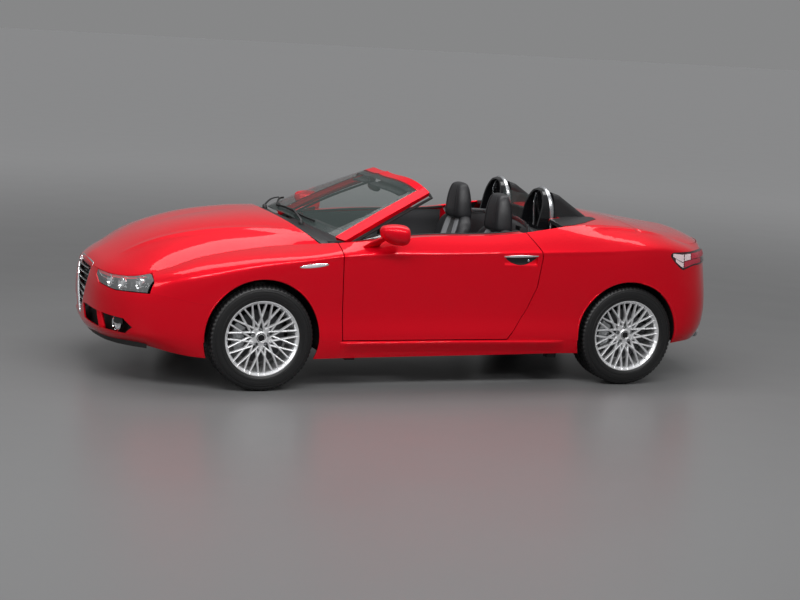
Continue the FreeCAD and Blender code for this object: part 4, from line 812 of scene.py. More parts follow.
class Pad:
    """A stuffed form along a spine in the plane of the seat's middle.

    keys are (t, station, z, half width, front depth, back depth, bolster); the front faces the sitter."""

    def __init__(self, keys, power=3.4, roll=0.83):
        self.keys = keys
        self.power = power
        self.roll = roll

    def place(self, t, v, depth):
        """A place beside the spine, at a depth in front of it."""
        station, z, half = along_keys(self.keys, t)[:3]
        a, b = (along_keys(self.keys, min(max(near, 0), 1)) for near in (t - 0.01, t + 0.01))
        run = Vector((b[0] - a[0], 0, b[1] - a[1])).normalized()
        return Vector((st(station), SEAT_MIDDLE + v * half / 1000, z / 1000)) + Vector((-run.z, 0, run.x)) * depth

    def front(self, t, v, lift=0.0):
        _, _, _, ahead, _, bolster = along_keys(self.keys, t)
        share = min(abs(v), 1.0)
        edge = (1 - share ** self.power) ** (1 / self.power)
        depth = ahead * edge + bolster * math.exp(-((share - self.roll) / 0.17) ** 2) * edge ** 0.3
        return self.place(t, v, (depth - 0.3 * bolster * math.exp(-(share / 0.45) ** 2)) / 1000 + lift)

    def back(self, t, v):
        depth = along_keys(self.keys, t)[4] * (1 - min(abs(v), 1.0) ** self.power) ** (1 / self.power)
        return self.place(t, v, -depth / 1000)

    def solid(self, name, rows=44, half_ring=22):
        spread = [math.sin(math.pi / 2 * v) for v in steps(-1, 1, half_ring)]
        spread = [math.copysign(abs(v) ** 0.8, v) for v in spread]
        verts = []
        for t in steps(0, 1, rows):
            verts += [self.front(t, v) for v in spread] + [self.back(t, v) for v in spread[-2:0:-1]]
        obj = new_piece(name, verts, tube_faces(rows + 1, 2 * half_ring), LEATHER, CAR, 50)
        finer(obj)
        return obj

    def panel(self, name, t0, t1, edges, look, ribs=0, rows=30, columns=5):
        """A sewn panel on the front, which swells between its seams; edges give v0, v1 at t0 and at t1."""
        grid = []
        for s in steps(0, 1, rows):
            v0, v1 = (a + (b - a) * s for a, b in zip(*edges))
            row = []
            for share in steps(0, 1, columns):
                swell = 0.003 * (4 * share * (1 - share)) ** 0.5 * min(1.0, 14 * s, 14 * (1 - s))
                if ribs:
                    swell += 0.0016 * math.sin(2 * math.pi * ribs * s)
                row.append(self.front(t0 + (t1 - t0) * s, v0 + (v1 - v0) * share, swell + 0.0006))
            grid.append(row)
        return sheet_piece(name, grid, look, CAR, 60)

    def seam(self, name, t0, t1, v0, v1, look, radius=0.0022):
        path = [self.front(t, v, 0.001) for t, v in zip(steps(t0, t1, 36), steps(v0, v1, 36))]
        return bar(name, path, round_section(radius, 6), look, up=(0, 1, 0.001))


BACK = Pad(((0, 1625, 352, 196, 20, 26, 8), (0.06, 1622, 372, 222, 52, 56, 24), (0.35, 1666, 575, 238, 52, 50, 40),
            (0.65, 1716, 780, 242, 48, 46, 38), (0.84, 1750, 912, 228, 44, 44, 28), (0.94, 1764, 968, 184, 38, 42, 12),
            (1, 1770, 1002, 122, 22, 34, 0)))
HEAD = Pad(((0, 1768, 966, 132, 56, 48, 0), (0.12, 1768, 990, 148, 78, 60, 4), (0.45, 1767, 1082, 138, 72, 56, 7),
            (0.75, 1765, 1156, 118, 60, 48, 5), (0.9, 1764, 1197, 98, 46, 38, 2), (0.97, 1764, 1214, 76, 30, 27, 0),
            (1, 1764, 1221, 42, 10, 10, 0)), 2.9)
CUSHION = Pad(((0, 1642, 352, 205, 16, 30, 8), (0.08, 1610, 362, 232, 34, 62, 26), (0.5, 1420, 366, 246, 36, 66, 36),
               (0.85, 1215, 372, 240, 38, 72, 30), (0.95, 1158, 366, 232, 32, 66, 14), (1, 1126, 350, 218, 14, 40, 4)))


def build_seats():
    made = [BACK.solid("seat_back"), HEAD.solid("seat_head", 30, 18), CUSHION.solid("seat_cushion")]
    extra = []
    for tag, pad, top in (("back", BACK, 0.9), ("cushion", CUSHION, 1.0)):
        ribs = ((-0.24, 0.24), (-0.17 / top, 0.17 / top))
        extra.append(pad.panel("seat_ribs_" + tag, 0.1, 0.93, ribs, RIBBED, ribs=58, rows=348, columns=6))
        for side, word in ((-1, "inner"), (1, "outer")):
            name = "_%s_%s" % (tag, word)
            near, far = 0.255, 0.47
            band = ((side * near, side * far), (side * near * 0.76, side * far * 1.1))
            extra.append(pad.panel("seat_band" + name, 0.1, 0.93, band, BAND_LEATHER))
            for part, v0, v1 in (("near", near - 0.008, (near - 0.008) * 0.76), ("far", far + 0.01, far * 1.1 + 0.01)):
                extra.append(pad.seam("seat_piping%s_%s" % (name, part), 0.1, 0.93, side * v0, side * v1, BAND_LEATHER))
    for side, word in ((-1, "inner"), (1, "outer")):
        extra.append(HEAD.seam("seat_head_seam_" + word, 0.1, 0.93, side * 0.56, side * 0.5, BLACK, 0.0018))
        path = [(st(s), SEAT_MIDDLE + side * 0.17, 0.216) for s in steps(1190, 1610, 7)]
        extra.append(bar("seat_rail_" + word, path, box_section(0.018, 0.013), STEEL))
    shape = ((-1, 0.315), (-0.97, 0.26), (-0.9, 0.232), (0.9, 0.232), (0.97, 0.26), (1, 0.315))
    shroud = [[(st(s), SEAT_MIDDLE + 0.205 * v, z) for v, z in shape] for s in steps(1180, 1580, 8)]
    extra.append(sheet_piece("seat_shroud", shroud, BLACK))
    stem = [(st(s), SEAT_MIDDLE + 0.262, z) for s, z in ((1655, 0.31), (1650, 0.4), (1648, 0.425))]
    extra.append(bar("seat_buckle_stem", stem, box_section(0.006, 0.02), BLACK, up=(1, 0, 0)))
    for piece in made + extra:
        right = far_side(piece, piece.name + "_right")
        if piece in made:
            finer(right)
    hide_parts("seats")


# Roll hoops, the pane between them and the trim behind the seats.
def hoop_line():
    """The bow of the hoop behind the left seat."""
    half, foot, shoulder = 0.143, 0.985, 1.262 - 0.143
    line = [(SEAT_MIDDLE - half, z) for z in steps(foot, shoulder, 5)[:-1]]
    line += [(SEAT_MIDDLE - half * math.cos(a), shoulder + half * math.sin(a)) for a in steps(0, math.pi, 24)]
    line += [(SEAT_MIDDLE + half, z) for z in steps(shoulder, foot, 5)[1:]]
    return [(st(2092) - (z - 0.96) * math.tan(math.radians(4)), y, z) for y, z in line]


def build_hoops():
    section = [(0.015 * c, 0.017 * s) for c, s in circle(14)]
    for side, word in WORD.items():
        path = [(x, y * -side, z) for x, y, z in hoop_line()]
        bar("hoop_rim_" + word, path, section, SILVER, up=(1, 0, 0.001), angle=60)
    rows = [[(st(2002 + 16 * s), y, 0.99 + 0.125 * s) for y in steps(-0.2, 0.2, 4)] for s in steps(0, 1, 8)]
    thick_sheet("wind_stop_screen", rows, 0.004, MESH_BLACK)
    strip = [(1992, 0, 1.03), (1988, 0.15, 1.028), (1958, 0.36, 1.018), (1915, 0.52, 1.004), (1868, 0.63, 0.985)]
    half = smooth_path([(st(s), y, z) for s, y, z in strip], 10)
    whole = [Vector((p.x, -p.y, p.z)) for p in half[::-1]] + half[1:]
    bar("rear_trim_strip", whole, [(-0.004, -0.014), (-0.006, 0.0), (-0.004, 0.014), (0.005, 0.012), (0.005, -0.012)],
        SILVER)
    panel, shelf = [], []
    for y in steps(-0.66, 0.66, 16):
        bow, fall = 0.085 * (y / 0.66) ** 2, 0.02 * (y / 0.66) ** 2
        panel.append([(st(s) - bow, y, z) for s, z in ((1990, 1.012 - fall), (1978, 0.985), (1972, 0.93), (1968, 0.72),
                                                       (1966, 0.5))])
        shelf.append([(st(1990) - bow, y, 1.010 - fall), (st(2036), y, 0.996)])
    thick_sheet("rear_trim_panel", panel, 0.006, GREY_TRIM)
    sheet_piece("rear_trim_shelf", shelf, BLACK)


# Door mirrors.
HEAD_COUNT, FOOT_COUNT = 36, 20
HEAD_MIDDLE = 0.962


def head_ring(side, keys, lean):
    """A ring of the mirror's head: a superellipse, deeper below, that leans back with the width."""
    station, z, wide, tall = keys
    ring = []
    for c, s in circle(HEAD_COUNT):
        y = math.copysign(abs(c) ** 0.88, c) * wide
        h = math.copysign(abs(s) ** 0.88, s) * tall * (1.0 if s > 0 else 1.06)
        ring.append((st(station + lean * y), side * (HEAD_MIDDLE + y / 1000), (z + h + 0.10 * y) / 1000))
    return ring


def build_mirror(side):
    word = WORD[side]
    body = "door_" + word
    keys = ((0, 708, 1026, 4, 4), (0.03, 714, 1026, 24, 19), (0.1, 728, 1023, 46, 36), (0.25, 758, 1015, 71, 52),
            (0.5, 800, 1008, 88, 63), (0.75, 842, 1003, 93, 66), (0.92, 868, 1001, 90, 62), (1, 880, 1000, 83, 56))
    verts = []
    for t in steps(0, 1, 30):
        verts += head_ring(side, along_keys(keys, t), 0.03 * t)
    verts += head_ring(side, (880, 1000, 76, 49), 0.03) + head_ring(side, (866, 1000, 74, 47), 0.03)
    shell = new_piece("mirror_shell_" + word, verts, tube_faces(33, HEAD_COUNT), PAINT, body, 40)
    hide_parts("mirror_" + word)
    glass = []
    for share in steps(0, 1, 4):
        glass += head_ring(side, (870 + 3 * (1 - share * share), 1000, 74 * share, 48 * share), 0.03)
    new_piece("mirror_glass_" + word, glass, grid_faces(5, HEAD_COUNT, False, True), MIRROR_FACE, body)
    foot = []
    for station, y, z, long, wide in ((678, 800, 856, 78, 10), (676, 812, 880, 72, 15), (686, 834, 905, 62, 19),
                                      (704, 862, 930, 54, 22), (728, 890, 955, 48, 25), (752, 914, 975, 44, 28),
                                      (772, 934, 994, 42, 32)):
        foot += [(st(station + long * c), side * (y + wide * s) / 1000, (z + 0.10 * long * c) / 1000)
                 for c, s in circle(FOOT_COUNT)]
    finer(new_piece("mirror_foot_" + word, foot, tube_faces(7, FOOT_COUNT), PAINT, body, 60))


# Doors: handle, belt seal, inner card, quarter light. Fender repeater.
def side_patch(name, stations, low, high, look, body, side, lift, tree, dome=0.0):
    """A patch on the car's side between two heights, which may bulge."""
    grid = []
    for s in steps(0, 1, 24):
        x = st(stations[0] + (stations[1] - stations[0]) * s)
        grid.append([])
        for r in steps(0, 1, 8):
            swell = dome * (max(4 * r * (1 - r), 0) ** 0.5) * (max(4 * s * (1 - s), 0) ** 0.35)
            grid[-1].append(on_side(x, low(s) + (high(s) - low(s)) * r, side, lift + swell, tree))
    sheet_piece(name, grid, look, body, 50)


def inner_wall(station, z, side, lift=0.0):
    """A place on the door's inner face."""
    spot, _ = look_at(DOOR[side], (st(station), side * 0.3, z), (0, side, 0))
    if spot is None:
        spot, _ = nearest(DOOR[side], (st(station), side * 0.72, z))
    return Vector((spot.x, spot.y - side * lift, spot.z))


def wall_strip(name, side, stations, height, rim, power, profile, look):
    """A form that stands on the door's inner face; profile gives (reach, height) for how full it is."""
    grid = []
    for s in steps(0, 1, stations[2]):
        spot = inner_wall(stations[0] + (stations[1] - stations[0]) * s, height, side)
        full = taper(s, rim, power)
        grid.append([(spot.x, spot.y - side * reach, z) for reach, z in profile(full)])
    sheet_piece(name + WORD[side], grid, look, "door_" + WORD[side], 60)


def armrest_profile(full):
    reach, low, high = 0.062 * full, 0.655, 0.655 + 0.058 * full
    return ((0, low), (reach * 0.8, low + 0.004), (reach, (low + high) / 2), (reach * 0.92, high),
            (reach * 0.5, high + 0.003), (0, high))


def pocket_profile(full):
    return ((0.004, 0.385), (0.045 * full, 0.40), (0.052 * full, 0.47), (0.048 * full, 0.475), (0.040 * full, 0.41))


def build_door_trim(side):
    word, tree = WORD[side], DOOR[side]
    body = "door_" + word
    # Painted shade: a gloss black sheet on the door skin in the pocket under the handle, standing in for the recess's
    # shade.
    side_patch("handle_pocket_" + word, (1602, 1822), lambda s: 0.860 - 0.052 * taper(s, 0, 0.7), lambda s: 0.8605,
               GLOSS_BLACK, body, side, 0.0012, tree)
    path, ring = [], []
    for s in steps(0, 1, 24):
        spot = on_side(st(1592 + 240 * s), 0.872, side, 0.0, tree)
        path.append(Vector((spot.x, spot.y, 0.8635 + 0.006 * s)))
        full = taper(s, 0.02, 0.35)
        ring.append([(0.013 * full * c, 0.0112 * full * s) for c, s in circle(10)])
    bar("door_handle_" + word, path, ring, CHROME, body)
    lock = on_side(st(1768), 0.838, side, 0.0, tree)
    revolved("door_lock_" + word, [(-0.004, 0.0075), (0.004, 0.0075), (0.0052, 0.005), (0.005, 0.0)], lock,
             (0, side, 0), CHROME, 20, body)
    seal = []
    for station in steps(640, 1760, 40):
        best = max((on_top(st(station), side * (0.700 + 0.004 * j), 0.0, tree) for j in range(30)),
                   key=lambda spot: spot.z - 0.15 * abs(spot.y))
        seal.append(Vector((best.x, best.y - side * 0.004, best.z + 0.001)))
    bar("belt_seal_" + word, seal, [(-0.010, -0.008), (-0.009, 0.003), (0.0, 0.006), (0.007, 0.002), (0.008, -0.008)],
        SOFT_RUBBER, body)
    card = []
    for station in steps(600, 1750, 30):
        top = plain_between(((600, 0.935), (1000, 0.955), (1400, 0.975), (1750, 0.985)), station)
        low = plain_between(((600, 0.37), (1450, 0.37), (1620, 0.42), (1700, 0.50), (1750, 0.58)), station)
        card.append([inner_wall(station, z, side, 0.004 + 0.020 * math.exp(-((z - 0.70) / 0.06) ** 2)
                                + 0.008 * math.exp(-((z - 0.93) / 0.05) ** 2)) for z in steps(low, top, 24)])
    sheet_piece("door_card_" + word, card, GREY_TRIM, body, 60)
    wall_strip("armrest_", side, (960, 1520, 24), 0.69, 0.015, 0.3, armrest_profile, LEATHER)
    wall_strip("door_pocket_", side, (1050, 1570, 20), 0.45, 0.02, 0.25, pocket_profile, GREY_TRIM)
    pull = [inner_wall(930 + 150 * s, 0.80 + 0.02 * s, side, 0.012 + 0.03 * math.sin(math.pi * s))
            for s in steps(0, 1, 12)]
    bar("door_pull_" + word, pull, round_section(0.008), SILVER, body)
    middle = inner_wall(880, 0.45, side, 0.006)
    for part, look, profile in (("ring", BLACK, [(-0.004, 0.085), (0.006, 0.085), (0.008, 0.078), (0.004, 0.074),
                                                 (-0.002, 0.074)]),
                                ("face", MESH_BLACK, [(0.0, 0.075), (0.003, 0.06), (0.004, 0.03), (0.004, 0.0)])):
        revolved("speaker_%s_%s" % (part, word), profile, middle, (0, -side, 0), look, 40, body)
    a, b, c = (Vector((st(s), side * y, z)) for s, y, z in ((640, 0.740, 0.936), (796, 0.740, 0.952),
                                                            (796, 0.730, 0.976)))
    bar("quarter_frame_" + word, (a, b, c), round_section(0.007, 8), SOFT_RUBBER, body, True, (0, 1, 0.01))
    grid = [[a.lerp(c, u).lerp(a.lerp(b, u), v) for v in steps(0, 1, 8)] for u in steps(0, 1, 8)]
    sheet_piece("quarter_light_" + word, grid, DARK_GLASS, body)


def build_repeater(side):
    for part, stations, rim, look, lift, dome in (("rim_", (216, 404), 0.002, CHROME, 0.0008, 0.002),
                                                  ("lens_", (222, 398), 0.0, BULB, 0.0025, 0.004)):
        low, top = (lambda s, way=way: 0.786 + 0.018 * s + way * (0.0105 * taper(s, 0, 0.55) + rim) for way in (-1, 1))
        side_patch("repeater_" + part + WORD[side], stations, low, top, look, CAR, side, lift, FENDERS, dome)


# Tail lamps, plate bed, valance and exhaust tips. Lamp keys are (share of its run round the corner, height).
LAMP_LOW = ((0, 0.876), (0.02, 0.864), (0.106, 0.826), (0.215, 0.789), (0.25, 0.784), (0.30, 0.789), (0.45, 0.808),
            (1, 0.826))
LAMP_HIGH = ((0, 0.890), (0.02, 0.899), (0.06, 0.903), (0.6, 0.903), (1, 0.893))
LAMP_PATCHES = (
    ("surround", (0, 1), (0, 1), GLOSS_BLACK, 0.001, 10, 40, 0),
    ("clear", (0.035, 0.25), (0.44, 0.86), REFLECTOR, 0.0018, 5, 12, 0.0035),
    ("turn", (0.09, 0.25), (0.13, 0.40), REFLECTOR, 0.0018, 4, 9, 0.0035),
    ("middle", (0.265, 0.40), (0.50, 0.86), REFLECTOR, 0.0018, 4, 8, 0.0035),
    ("stop", (0.265, 0.66), (0.12, 0.46), RED_INNER, 0.0018, 6, 22, 0.003),
    ("inner", (0.415, 0.96), (0.50, 0.86), RED_INNER, 0.0018, 6, 26, 0.003),
    ("cover", (0.02, 0.985), (0.05, 0.95), TAIL_COVER, 0.0055, 8, 40, 0),
)


def lamp_spot(s, r, side, lift):
    """The outermost of five near places, so that shut lines are bridged."""
    station = 2800 + 440 * s
    low, high = plain_between(LAMP_LOW, s), plain_between(LAMP_HIGH, s)
    z = low + (high - low) * r
    best, way = None, None
    for dx, dz in ((0, 0), (-6, 0), (6, 0), (0, -0.006), (0, 0.006)):
        spot, normal = look_at(TAILS, (st(station + dx), side * 3, z + dz), (0, -side, 0))
        if spot is not None and (best is None or spot.y * side > best.y * side + 0.004):
            best, way = Vector((st(station), spot.y, z)), normal
    if best is None:
        best, way = nearest(TAILS, (st(station), side * 0.7, z))
    return best + way * lift


def build_tail_lamp(side):
    for part, span, rise, look, lift, rows, columns, facets in LAMP_PATCHES:
        grid = [[lamp_spot(s, r, side, lift + facets * ((i + j) % 2)) for j, r in enumerate(steps(*rise, rows))]
                for i, s in enumerate(steps(*span, columns))]
        sheet_piece("tail_%s_%s" % (part, WORD[side]), grid, look, CAR, 20 if facets else 50)


def build_rear():
    bed = [[on_rear(y, z, 0.0015) for y in steps(-0.27, 0.27, 20)] for z in steps(0.575, 0.705, 8)]
    sheet_piece("rear_plate_bed", bed, BLACK)
    grid = []
    for y in steps(-0.62, 0.62, 40):
        top = 0.372 + 0.03 * (1 - (y / 0.62) ** 2) ** 0.5
        row = [on_rear(y, z, lift) for z, lift in ((top - 0.006, 0.0002), (top - 0.012, 0.004), (0.355, 0.004),
                                                   (0.34, 0.003))]
        grid.append(row + [row[-1] + Vector((x, 0, z)) for x, z in ((-0.012, -0.02), (-0.03, -0.045),
                                                                    (-0.06, -0.075), (-0.16, -0.1))])
    sheet_piece("rear_valance", grid, GREY_TRIM)
    fin = [(-0.004, -0.012), (-0.003, 0.004), (0.003, 0.004), (0.004, -0.012)]
    for index, y in enumerate(steps(-0.2, 0.2, 4)):
        spot = on_rear(y, 0.34, 0.004)
        blade = [spot + Vector((x, 0, z)) for x, z in ((0, 0), (-0.012, -0.03), (-0.05, -0.078), (-0.15, -0.105))]
        bar("valance_fin_%d" % index, smooth_path(blade, 4), fin, BLACK)
    for side, word in WORD.items():
        build_tail_lamp(side)
        spot, half = on_rear(side * 0.11, 0.712, 0.004), Vector((0, 0.03, 0))
        bar("plate_lamp_" + word, [spot - half, spot + half],
            [(-0.008, -0.006), (-0.008, 0.004), (0.006, 0.006), (0.008, -0.004)], BULB)
        for part, y in (("outer", 0.43), ("inner", 0.33)):
            profile = [(-0.06, 0.0405), (0.0, 0.0442), (0.006, 0.0455), (0.009, 0.0435), (0.006, 0.0405),
                       (-0.05, 0.0392)]
            revolved("exhaust_tip_%s_%s" % (word, part), profile, (st(3296), side * y, 0.284), (1, 0, 0), CHROME, 40)
    lamp = [[on_rear(y, z, 0.0015) for z in steps(0.905, 0.925, 2)] for y in steps(-0.16, 0.16, 6)]
    sheet_piece("third_brake_lamp", lamp, RED_GLASS, "boot_lid")


# Cabin: dashboard, instruments and console.
def on_dash(y, z, lift=0.0):
    spot, normal = look_at(DASH, (1.0, y, z), (-1, 0, 0))
    if spot is None:
        spot, normal = nearest(DASH, (st(850), y, z))
    return spot + normal * lift


def on_console(station, y=0.0, lift=0.0):
    spot, _ = look_at(CONSOLE, (st(station), 0, 2), (0, 0, -1))
    return spot + Vector((0, y, lift))


def build_dash():
    aim = (0.96, 0, 0.26)
    for index, y in enumerate((-0.455, -0.28)):
        place = on_dash(y, 0.855)
        for part, look, profile in (
                ("cowl", BLACK, [(-0.05, 0.078), (0.035, 0.078), (0.042, 0.073), (0.03, 0.066), (-0.02, 0.06)]),
                ("face", GLOSS_BLACK, [(-0.006, 0.062), (-0.005, 0.03), (-0.005, 0.0)]),
                ("ring", SILVER, [(-0.004, 0.062), (0.002, 0.062), (0.003, 0.058), (-0.004, 0.057)])):
            revolved("dial_%s_%d" % (part, index), profile, place, aim, look, 36)
        needle = [place, place + Vector((-0.010, 0.025, 0.038))]
        bar("dial_needle_%d" % index, needle, round_section(0.0014, 6), RED_INNER, up=(1, 0, 0))
    vents = ((-0.06, 0.83), (0.0, 0.83), (0.06, 0.83), (-0.61, 0.82), (0.61, 0.82), (0.40, 0.83))
    for index, (y, z) in enumerate(vents):
        place = on_dash(y, z)
        radius = 0.026 if abs(y) < 0.1 else 0.038
        for part, look, profile in (
                ("ring", SILVER, ((-0.01, 1), (0.008, 1), (0.010, 0.9), (0.004, 0.82), (-0.006, 0.8))),
                ("face", MESH_BLACK, ((0.001, 0.84), (0.001, 0.0)))):
            revolved("vent_%s_%d" % (part, index), [(d, radius * r) for d, r in profile], place, (1, 0, 0.05), look, 30)
    rows = [[on_dash(y, z, 0.004) for y in steps(-0.085, 0.085, 6)] for z in steps(0.66, 0.79, 4)]
    thick_sheet("centre_stack", rows, 0.004, SILVER)
    for k, y in enumerate((-0.05, 0.0, 0.05)):
        revolved("heater_knob_%d" % k, [(0, 0.019), (0.014, 0.017), (0.016, 0.014), (0.016, 0)],
                 on_dash(y, 0.69, 0.006), (1, 0, 0.1), BLACK, 24)
    boot = [(0.0, 0.075), (0.012, 0.062), (0.03, 0.05), (0.055, 0.035), (0.085, 0.02), (0.10, 0.013), (0.1, 0.0)]
    knob = [(0.1, 0.0), (0.1, 0.008), (0.13, 0.008), (0.136, 0.016), (0.15, 0.023), (0.168, 0.0245), (0.18, 0.017),
            (0.184, 0.0)]
    revolved("gear_boot", boot, on_console(1130), (-0.1, 0, 1), LEATHER, 28)
    revolved("gear_knob", knob, on_console(1130), (-0.1, 0, 1), SILVER, 28)
    lever = [on_console(s, -0.045, lift) for s, lift in ((1420, 0.01), (1340, 0.03), (1260, 0.045))]
    bar("hand_brake", smooth_path(lever, 5), round_section(0.012), LEATHER)
    rows = [[on_console(s, -0.085 + 0.17 * v, 0.012 * taper(v, 0, 0.4)) for v in steps(0, 1, 6)]
            for s in steps(1480, 1940, 10)]
    sheet_piece("console_lid", rows, LEATHER, CAR, 60)


# Creases, arch lips and trim of the body.
DOOR_REAR_LINE = ((0.31, 1645), (0.343, 1645), (0.381, 1697), (0.52, 1781), (0.66, 1839), (0.863, 1864), (0.9, 1855),
                  (1.007, 1779))
SHOULDER = ((120, 0.814), (300, 0.832), (503, 0.853), (1148, 0.871), (1849, 0.887), (2361, 0.905), (2786, 0.935))
SILL = ((500, 0.292), (560, 0.295), (1200, 0.298), (1990, 0.296), (2080, 0.292))
RIDGE_SHAPE = ((-1.0, 0.0), (-0.8, 0.04), (-0.55, 0.22), (-0.3, 0.55), (-0.12, 0.86), (0.0, 1.0), (0.1, 0.88),
               (0.3, 0.58), (0.55, 0.25), (0.8, 0.05), (1.0, 0.0))
SILL_SHAPE = ((-1.0, 0.0), (-0.7, 0.18), (-0.4, 0.48), (-0.2, 0.74), (-0.08, 0.9), (0.05, 0.99), (0.25, 1.0),
              (0.5, 0.93), (0.75, 0.74), (0.9, 0.48), (1.0, 0.0))
SHOULDER_RIDGE = (SHOULDER, RIDGE_SHAPE, 0.030, 0.050, 0.0045)
SILL_RIDGE = (SILL, SILL_SHAPE, 0.060, 0.016, 0.014)


def ridge(name, start, end, form, body, side, tree, fade, count):
    """A crease pressed into a side panel: start and end give stations at a height."""
    line, shape, low, high, peak = form
    grid = []
    for s in steps(0, 1, count):
        guess = start(0.87) + (end(0.87) - start(0.87)) * s
        row = []
        for r, share in shape:
            offset = r * high if r > 0 else r * low
            z = plain_between(line, guess) + offset
            x = start(z) + (end(z) - start(z)) * s
            z = plain_between(line, x) + offset
            if fade[0]:
                share *= min(1, (x - start(z)) / fade[0]) ** 0.8
            if fade[1]:
                share *= min(1, max(end(z) - x, 0) / fade[1]) ** 0.8
            row.append(on_side(st(x), z, side, 0.0003 + peak * share, tree))
        grid.append(row)
    sheet_piece(name + WORD[side], grid, PAINT, body, 180)


def build_creases(side):
    front = lambda z: 503 + (0.936 - z) * 38.5
    rear = lambda z: plain_between(DOOR_REAR_LINE, z)
    ridge("shoulder_fender_", lambda z: 150, lambda z: front(z) - 6.5, SHOULDER_RIDGE, CAR, side, FENDERS, (240, 0), 30)
    ridge("shoulder_door_", lambda z: front(z) + 0.5, lambda z: rear(z) - 0.5, SHOULDER_RIDGE, "door_" + WORD[side],
          side, DOOR[side], (0, 0), 60)
    ridge("shoulder_quarter_", lambda z: rear(z) + 6.5, lambda z: 2790, SHOULDER_RIDGE, CAR, side, QUARTERS, (0, 500),
          50)
    ridge("sill_blade_", lambda z: 510, lambda z: 2060, SILL_RIDGE, CAR, side, SKIRTS, (60, 90), 80)
    lip = [(-0.0045, -0.0025), (-0.0045, 0.0015), (0.0, 0.0032), (0.0045, 0.0015), (0.0045, -0.0025)]
    for tag, axle, radius, tree in (("front", 0, 0.3735, FENDERS), ("rear", 2528, 0.3675, QUARTERS)):
        path = []
        for degrees in steps(-4, 184, 60):
            turn = math.radians(degrees)
            x, z = st(axle - 1000 * radius * math.cos(turn)), WHEEL_HEIGHT + radius * math.sin(turn)
            spot, _ = look_at(tree, (x, side * 3, z), (0, -side, 0))
            if spot is None or abs(spot.y) < 0.6:
                spot, _ = nearest(ARCHES, (x, side * 0.9, z))
            path.append(spot)
        bar("arch_lip_%s_%s" % (tag, WORD[side]), path, lip, PAINT, up=(0, side, 0.001), angle=70)


def build_bonnet_crease(side):
    line = smooth_path([(st(s), y, 0) for s, y in ((-800, 0.335), (-575, 0.405), (-291, 0.47), (27, 0.52),
                                                   (330, 0.575))], 12)
    grid = []
    for spot, s in zip(line, steps(0, 1, len(line) - 1)):
        grow = min(1, 6 * s) * min(1, 5 * (1 - s)) * 0.005
        grid.append([on_top(spot.x, side * (spot.y + 0.05 * r), 0.0004 + share * grow, BONNET)
                     for r, share in RIDGE_SHAPE])
    sheet_piece("bonnet_crease_" + WORD[side], grid, PAINT, "bonnet", 180)


def build_deck_crease(side):
    """The ridge just outside the rear lids."""
    grid = []
    for s in steps(0, 1, 40):
        x = st(2230 + 560 * s)
        ways = (0.86 - 0.004 * k for k in range(80))
        edge = next((y for y in ways if look_at(REAR_LIDS, (x, side * y, 4), (0, 0, -1))[0] is not None), 0.60)
        grow = min(1, 5 * s) * min(1, 8 * (1 - s)) * 0.004
        grid.append([on_top(x, side * (edge + 0.034 + 0.026 * r), 0.0004 + share * grow, QUARTERS)
                     for r, share in RIDGE_SHAPE])
    sheet_piece("deck_crease_" + WORD[side], grid, PAINT, CAR, 180)


def build_rear_trim(side):
    grid = []
    for s in steps(2066, 2406, 14):
        outer = plain_between(((2066, 0.745), (2150, 0.738), (2260, 0.672), (2410, 0.53)), s)
        grid.append([on_top(st(s), side * y, 0.002, LID) for y in steps(0.47, outer, 8)])
    grid[:0] = [[spot + Vector(turned) for spot in grid[0]] for turned in ((-0.007, 0, -0.026), (-0.006, 0, -0.003))]
    sheet_piece("deck_trim_" + WORD[side], grid, BLACK, "tonneau")
    grid = []
    for s in steps(1770, 2060, 16):
        row = []
        for z in steps(0.5, plain_between(((1770, 0.975), (1850, 1.0), (2060, 1.03)), s), 12):
            spot, _ = look_at(QUARTERS, (st(s), side * 0.3, z), (0, side, 0))
            y = min(abs(spot.y), 0.86) - 0.006 if spot is not None else 0.735
            row.append((st(s), side * (min(y, 0.8) if z < 0.9 else y), z))
        grid.append(row)
    sheet_piece("rear_side_trim_" + WORD[side], grid, GREY_TRIM)


build_seats()
build_hoops()
for flank in WORD:
    build_bonnet_crease(flank)
    build_rear_trim(flank)
    build_creases(flank)
    build_deck_crease(flank)
    build_mirror(flank)
    build_door_trim(flank)
    build_repeater(flank)
build_rear()
build_dash()


# Floor, lights and surroundings. The floor is darker near the car: painted shade round it, which the lower body also
# reflects.
FLOOR_HALF = 150
# How far the painted shade round the car reaches at full strength, and where it has faded out.
SHADE_REACH, SHADE_FADE_REACH = 3.0, 16.0


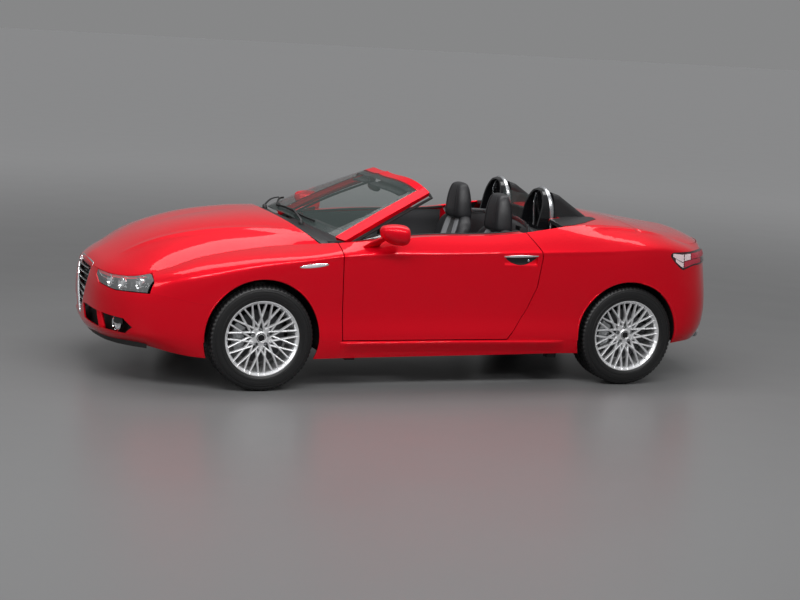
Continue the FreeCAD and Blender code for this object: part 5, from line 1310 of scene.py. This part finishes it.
def make_floor():
    mesh = bpy.data.meshes.new("floor")
    corners = [(x * FLOOR_HALF, y * FLOOR_HALF, 0) for x, y in ((-1, -1), (1, -1), (1, 1), (-1, 1))]
    mesh.from_pydata(corners, [], [(0, 1, 2, 3)])
    floor = bpy.data.objects.new("floor", mesh)
    scene.collection.objects.link(floor)
    look = material("floor_pale_painted_shade", (0.3, 0.3, 0.302), 0.32, Specular_IOR_Level=0.3)
    vary_rough(look, noise(look, 2.0), 0.28, 0.36)
    tree = look.node_tree
    place = tree.nodes.new("ShaderNodeTexCoord")
    reach = tree.nodes.new("ShaderNodeVectorMath")
    reach.operation = "LENGTH"
    share = tree.nodes.new("ShaderNodeMapRange")
    share.interpolation_type = "SMOOTHSTEP"
    share.inputs["From Min"].default_value = SHADE_REACH
    share.inputs["From Max"].default_value = SHADE_FADE_REACH
    # Painted shade round the car: the base colour is dark near it and fades to pale further off.
    tone = tree.nodes.new("ShaderNodeValToRGB")
    for stop, color in zip(tone.color_ramp.elements, ((0.17, 0.17, 0.172, 1), (0.62, 0.62, 0.625, 1))):
        stop.color = color
    tree.links.new(place.outputs["Object"], reach.inputs[0])
    tree.links.new(reach.outputs["Value"], share.inputs["Value"])
    tree.links.new(share.outputs["Result"], tone.inputs["Fac"])
    tree.links.new(tone.outputs["Color"], shader_of(look).inputs["Base Color"])
    dress(floor, look)


def make_world():
    """A pale surround that is brighter overhead."""
    world = bpy.data.worlds.new("studio")
    world.use_nodes = True
    sky = world.node_tree
    back = sky.nodes["Background"]
    back.inputs["Strength"].default_value = 0.3
    place = sky.nodes.new("ShaderNodeTexCoord")
    split = sky.nodes.new("ShaderNodeSeparateXYZ")
    tone = sky.nodes.new("ShaderNodeValToRGB")
    for stop, spot, shade in zip(tone.color_ramp.elements, (0.12, 0.9), (0.8, 1.5)):
        stop.position, stop.color = spot, (shade, shade * 1.005, shade * 1.015, 1)
    sky.links.new(place.outputs["Generated"], split.inputs["Vector"])
    sky.links.new(split.outputs["Z"], tone.inputs["Fac"])
    sky.links.new(tone.outputs["Color"], back.inputs["Color"])
    scene.world = world
    scene.view_settings.view_transform = "Standard"


def soft_light(name, place, target, width, depth, power):
    data = bpy.data.lights.new(name, "AREA")
    data.shape = "RECTANGLE"
    data.size, data.size_y, data.energy = width, depth, power
    lamp = bpy.data.objects.new(name, data)
    lamp.location = place
    lamp.rotation_euler = (Vector(target) - Vector(place)).to_track_quat("-Z", "Y").to_euler()
    scene.collection.objects.link(lamp)


make_floor()
make_world()
soft_light("top_light", (0, 0.2, 4.6), (0, 0, 0), 6.5, 1.5, 130)
soft_light("side_light", (-0.8, -4.4, 4.4), (0, -0.6, 0.8), 6.5, 0.7, 240)
soft_light("front_light", (-7.0, -3.0, 3.4), (-1.5, 0, 0.6), 2.4, 2.4, 90)
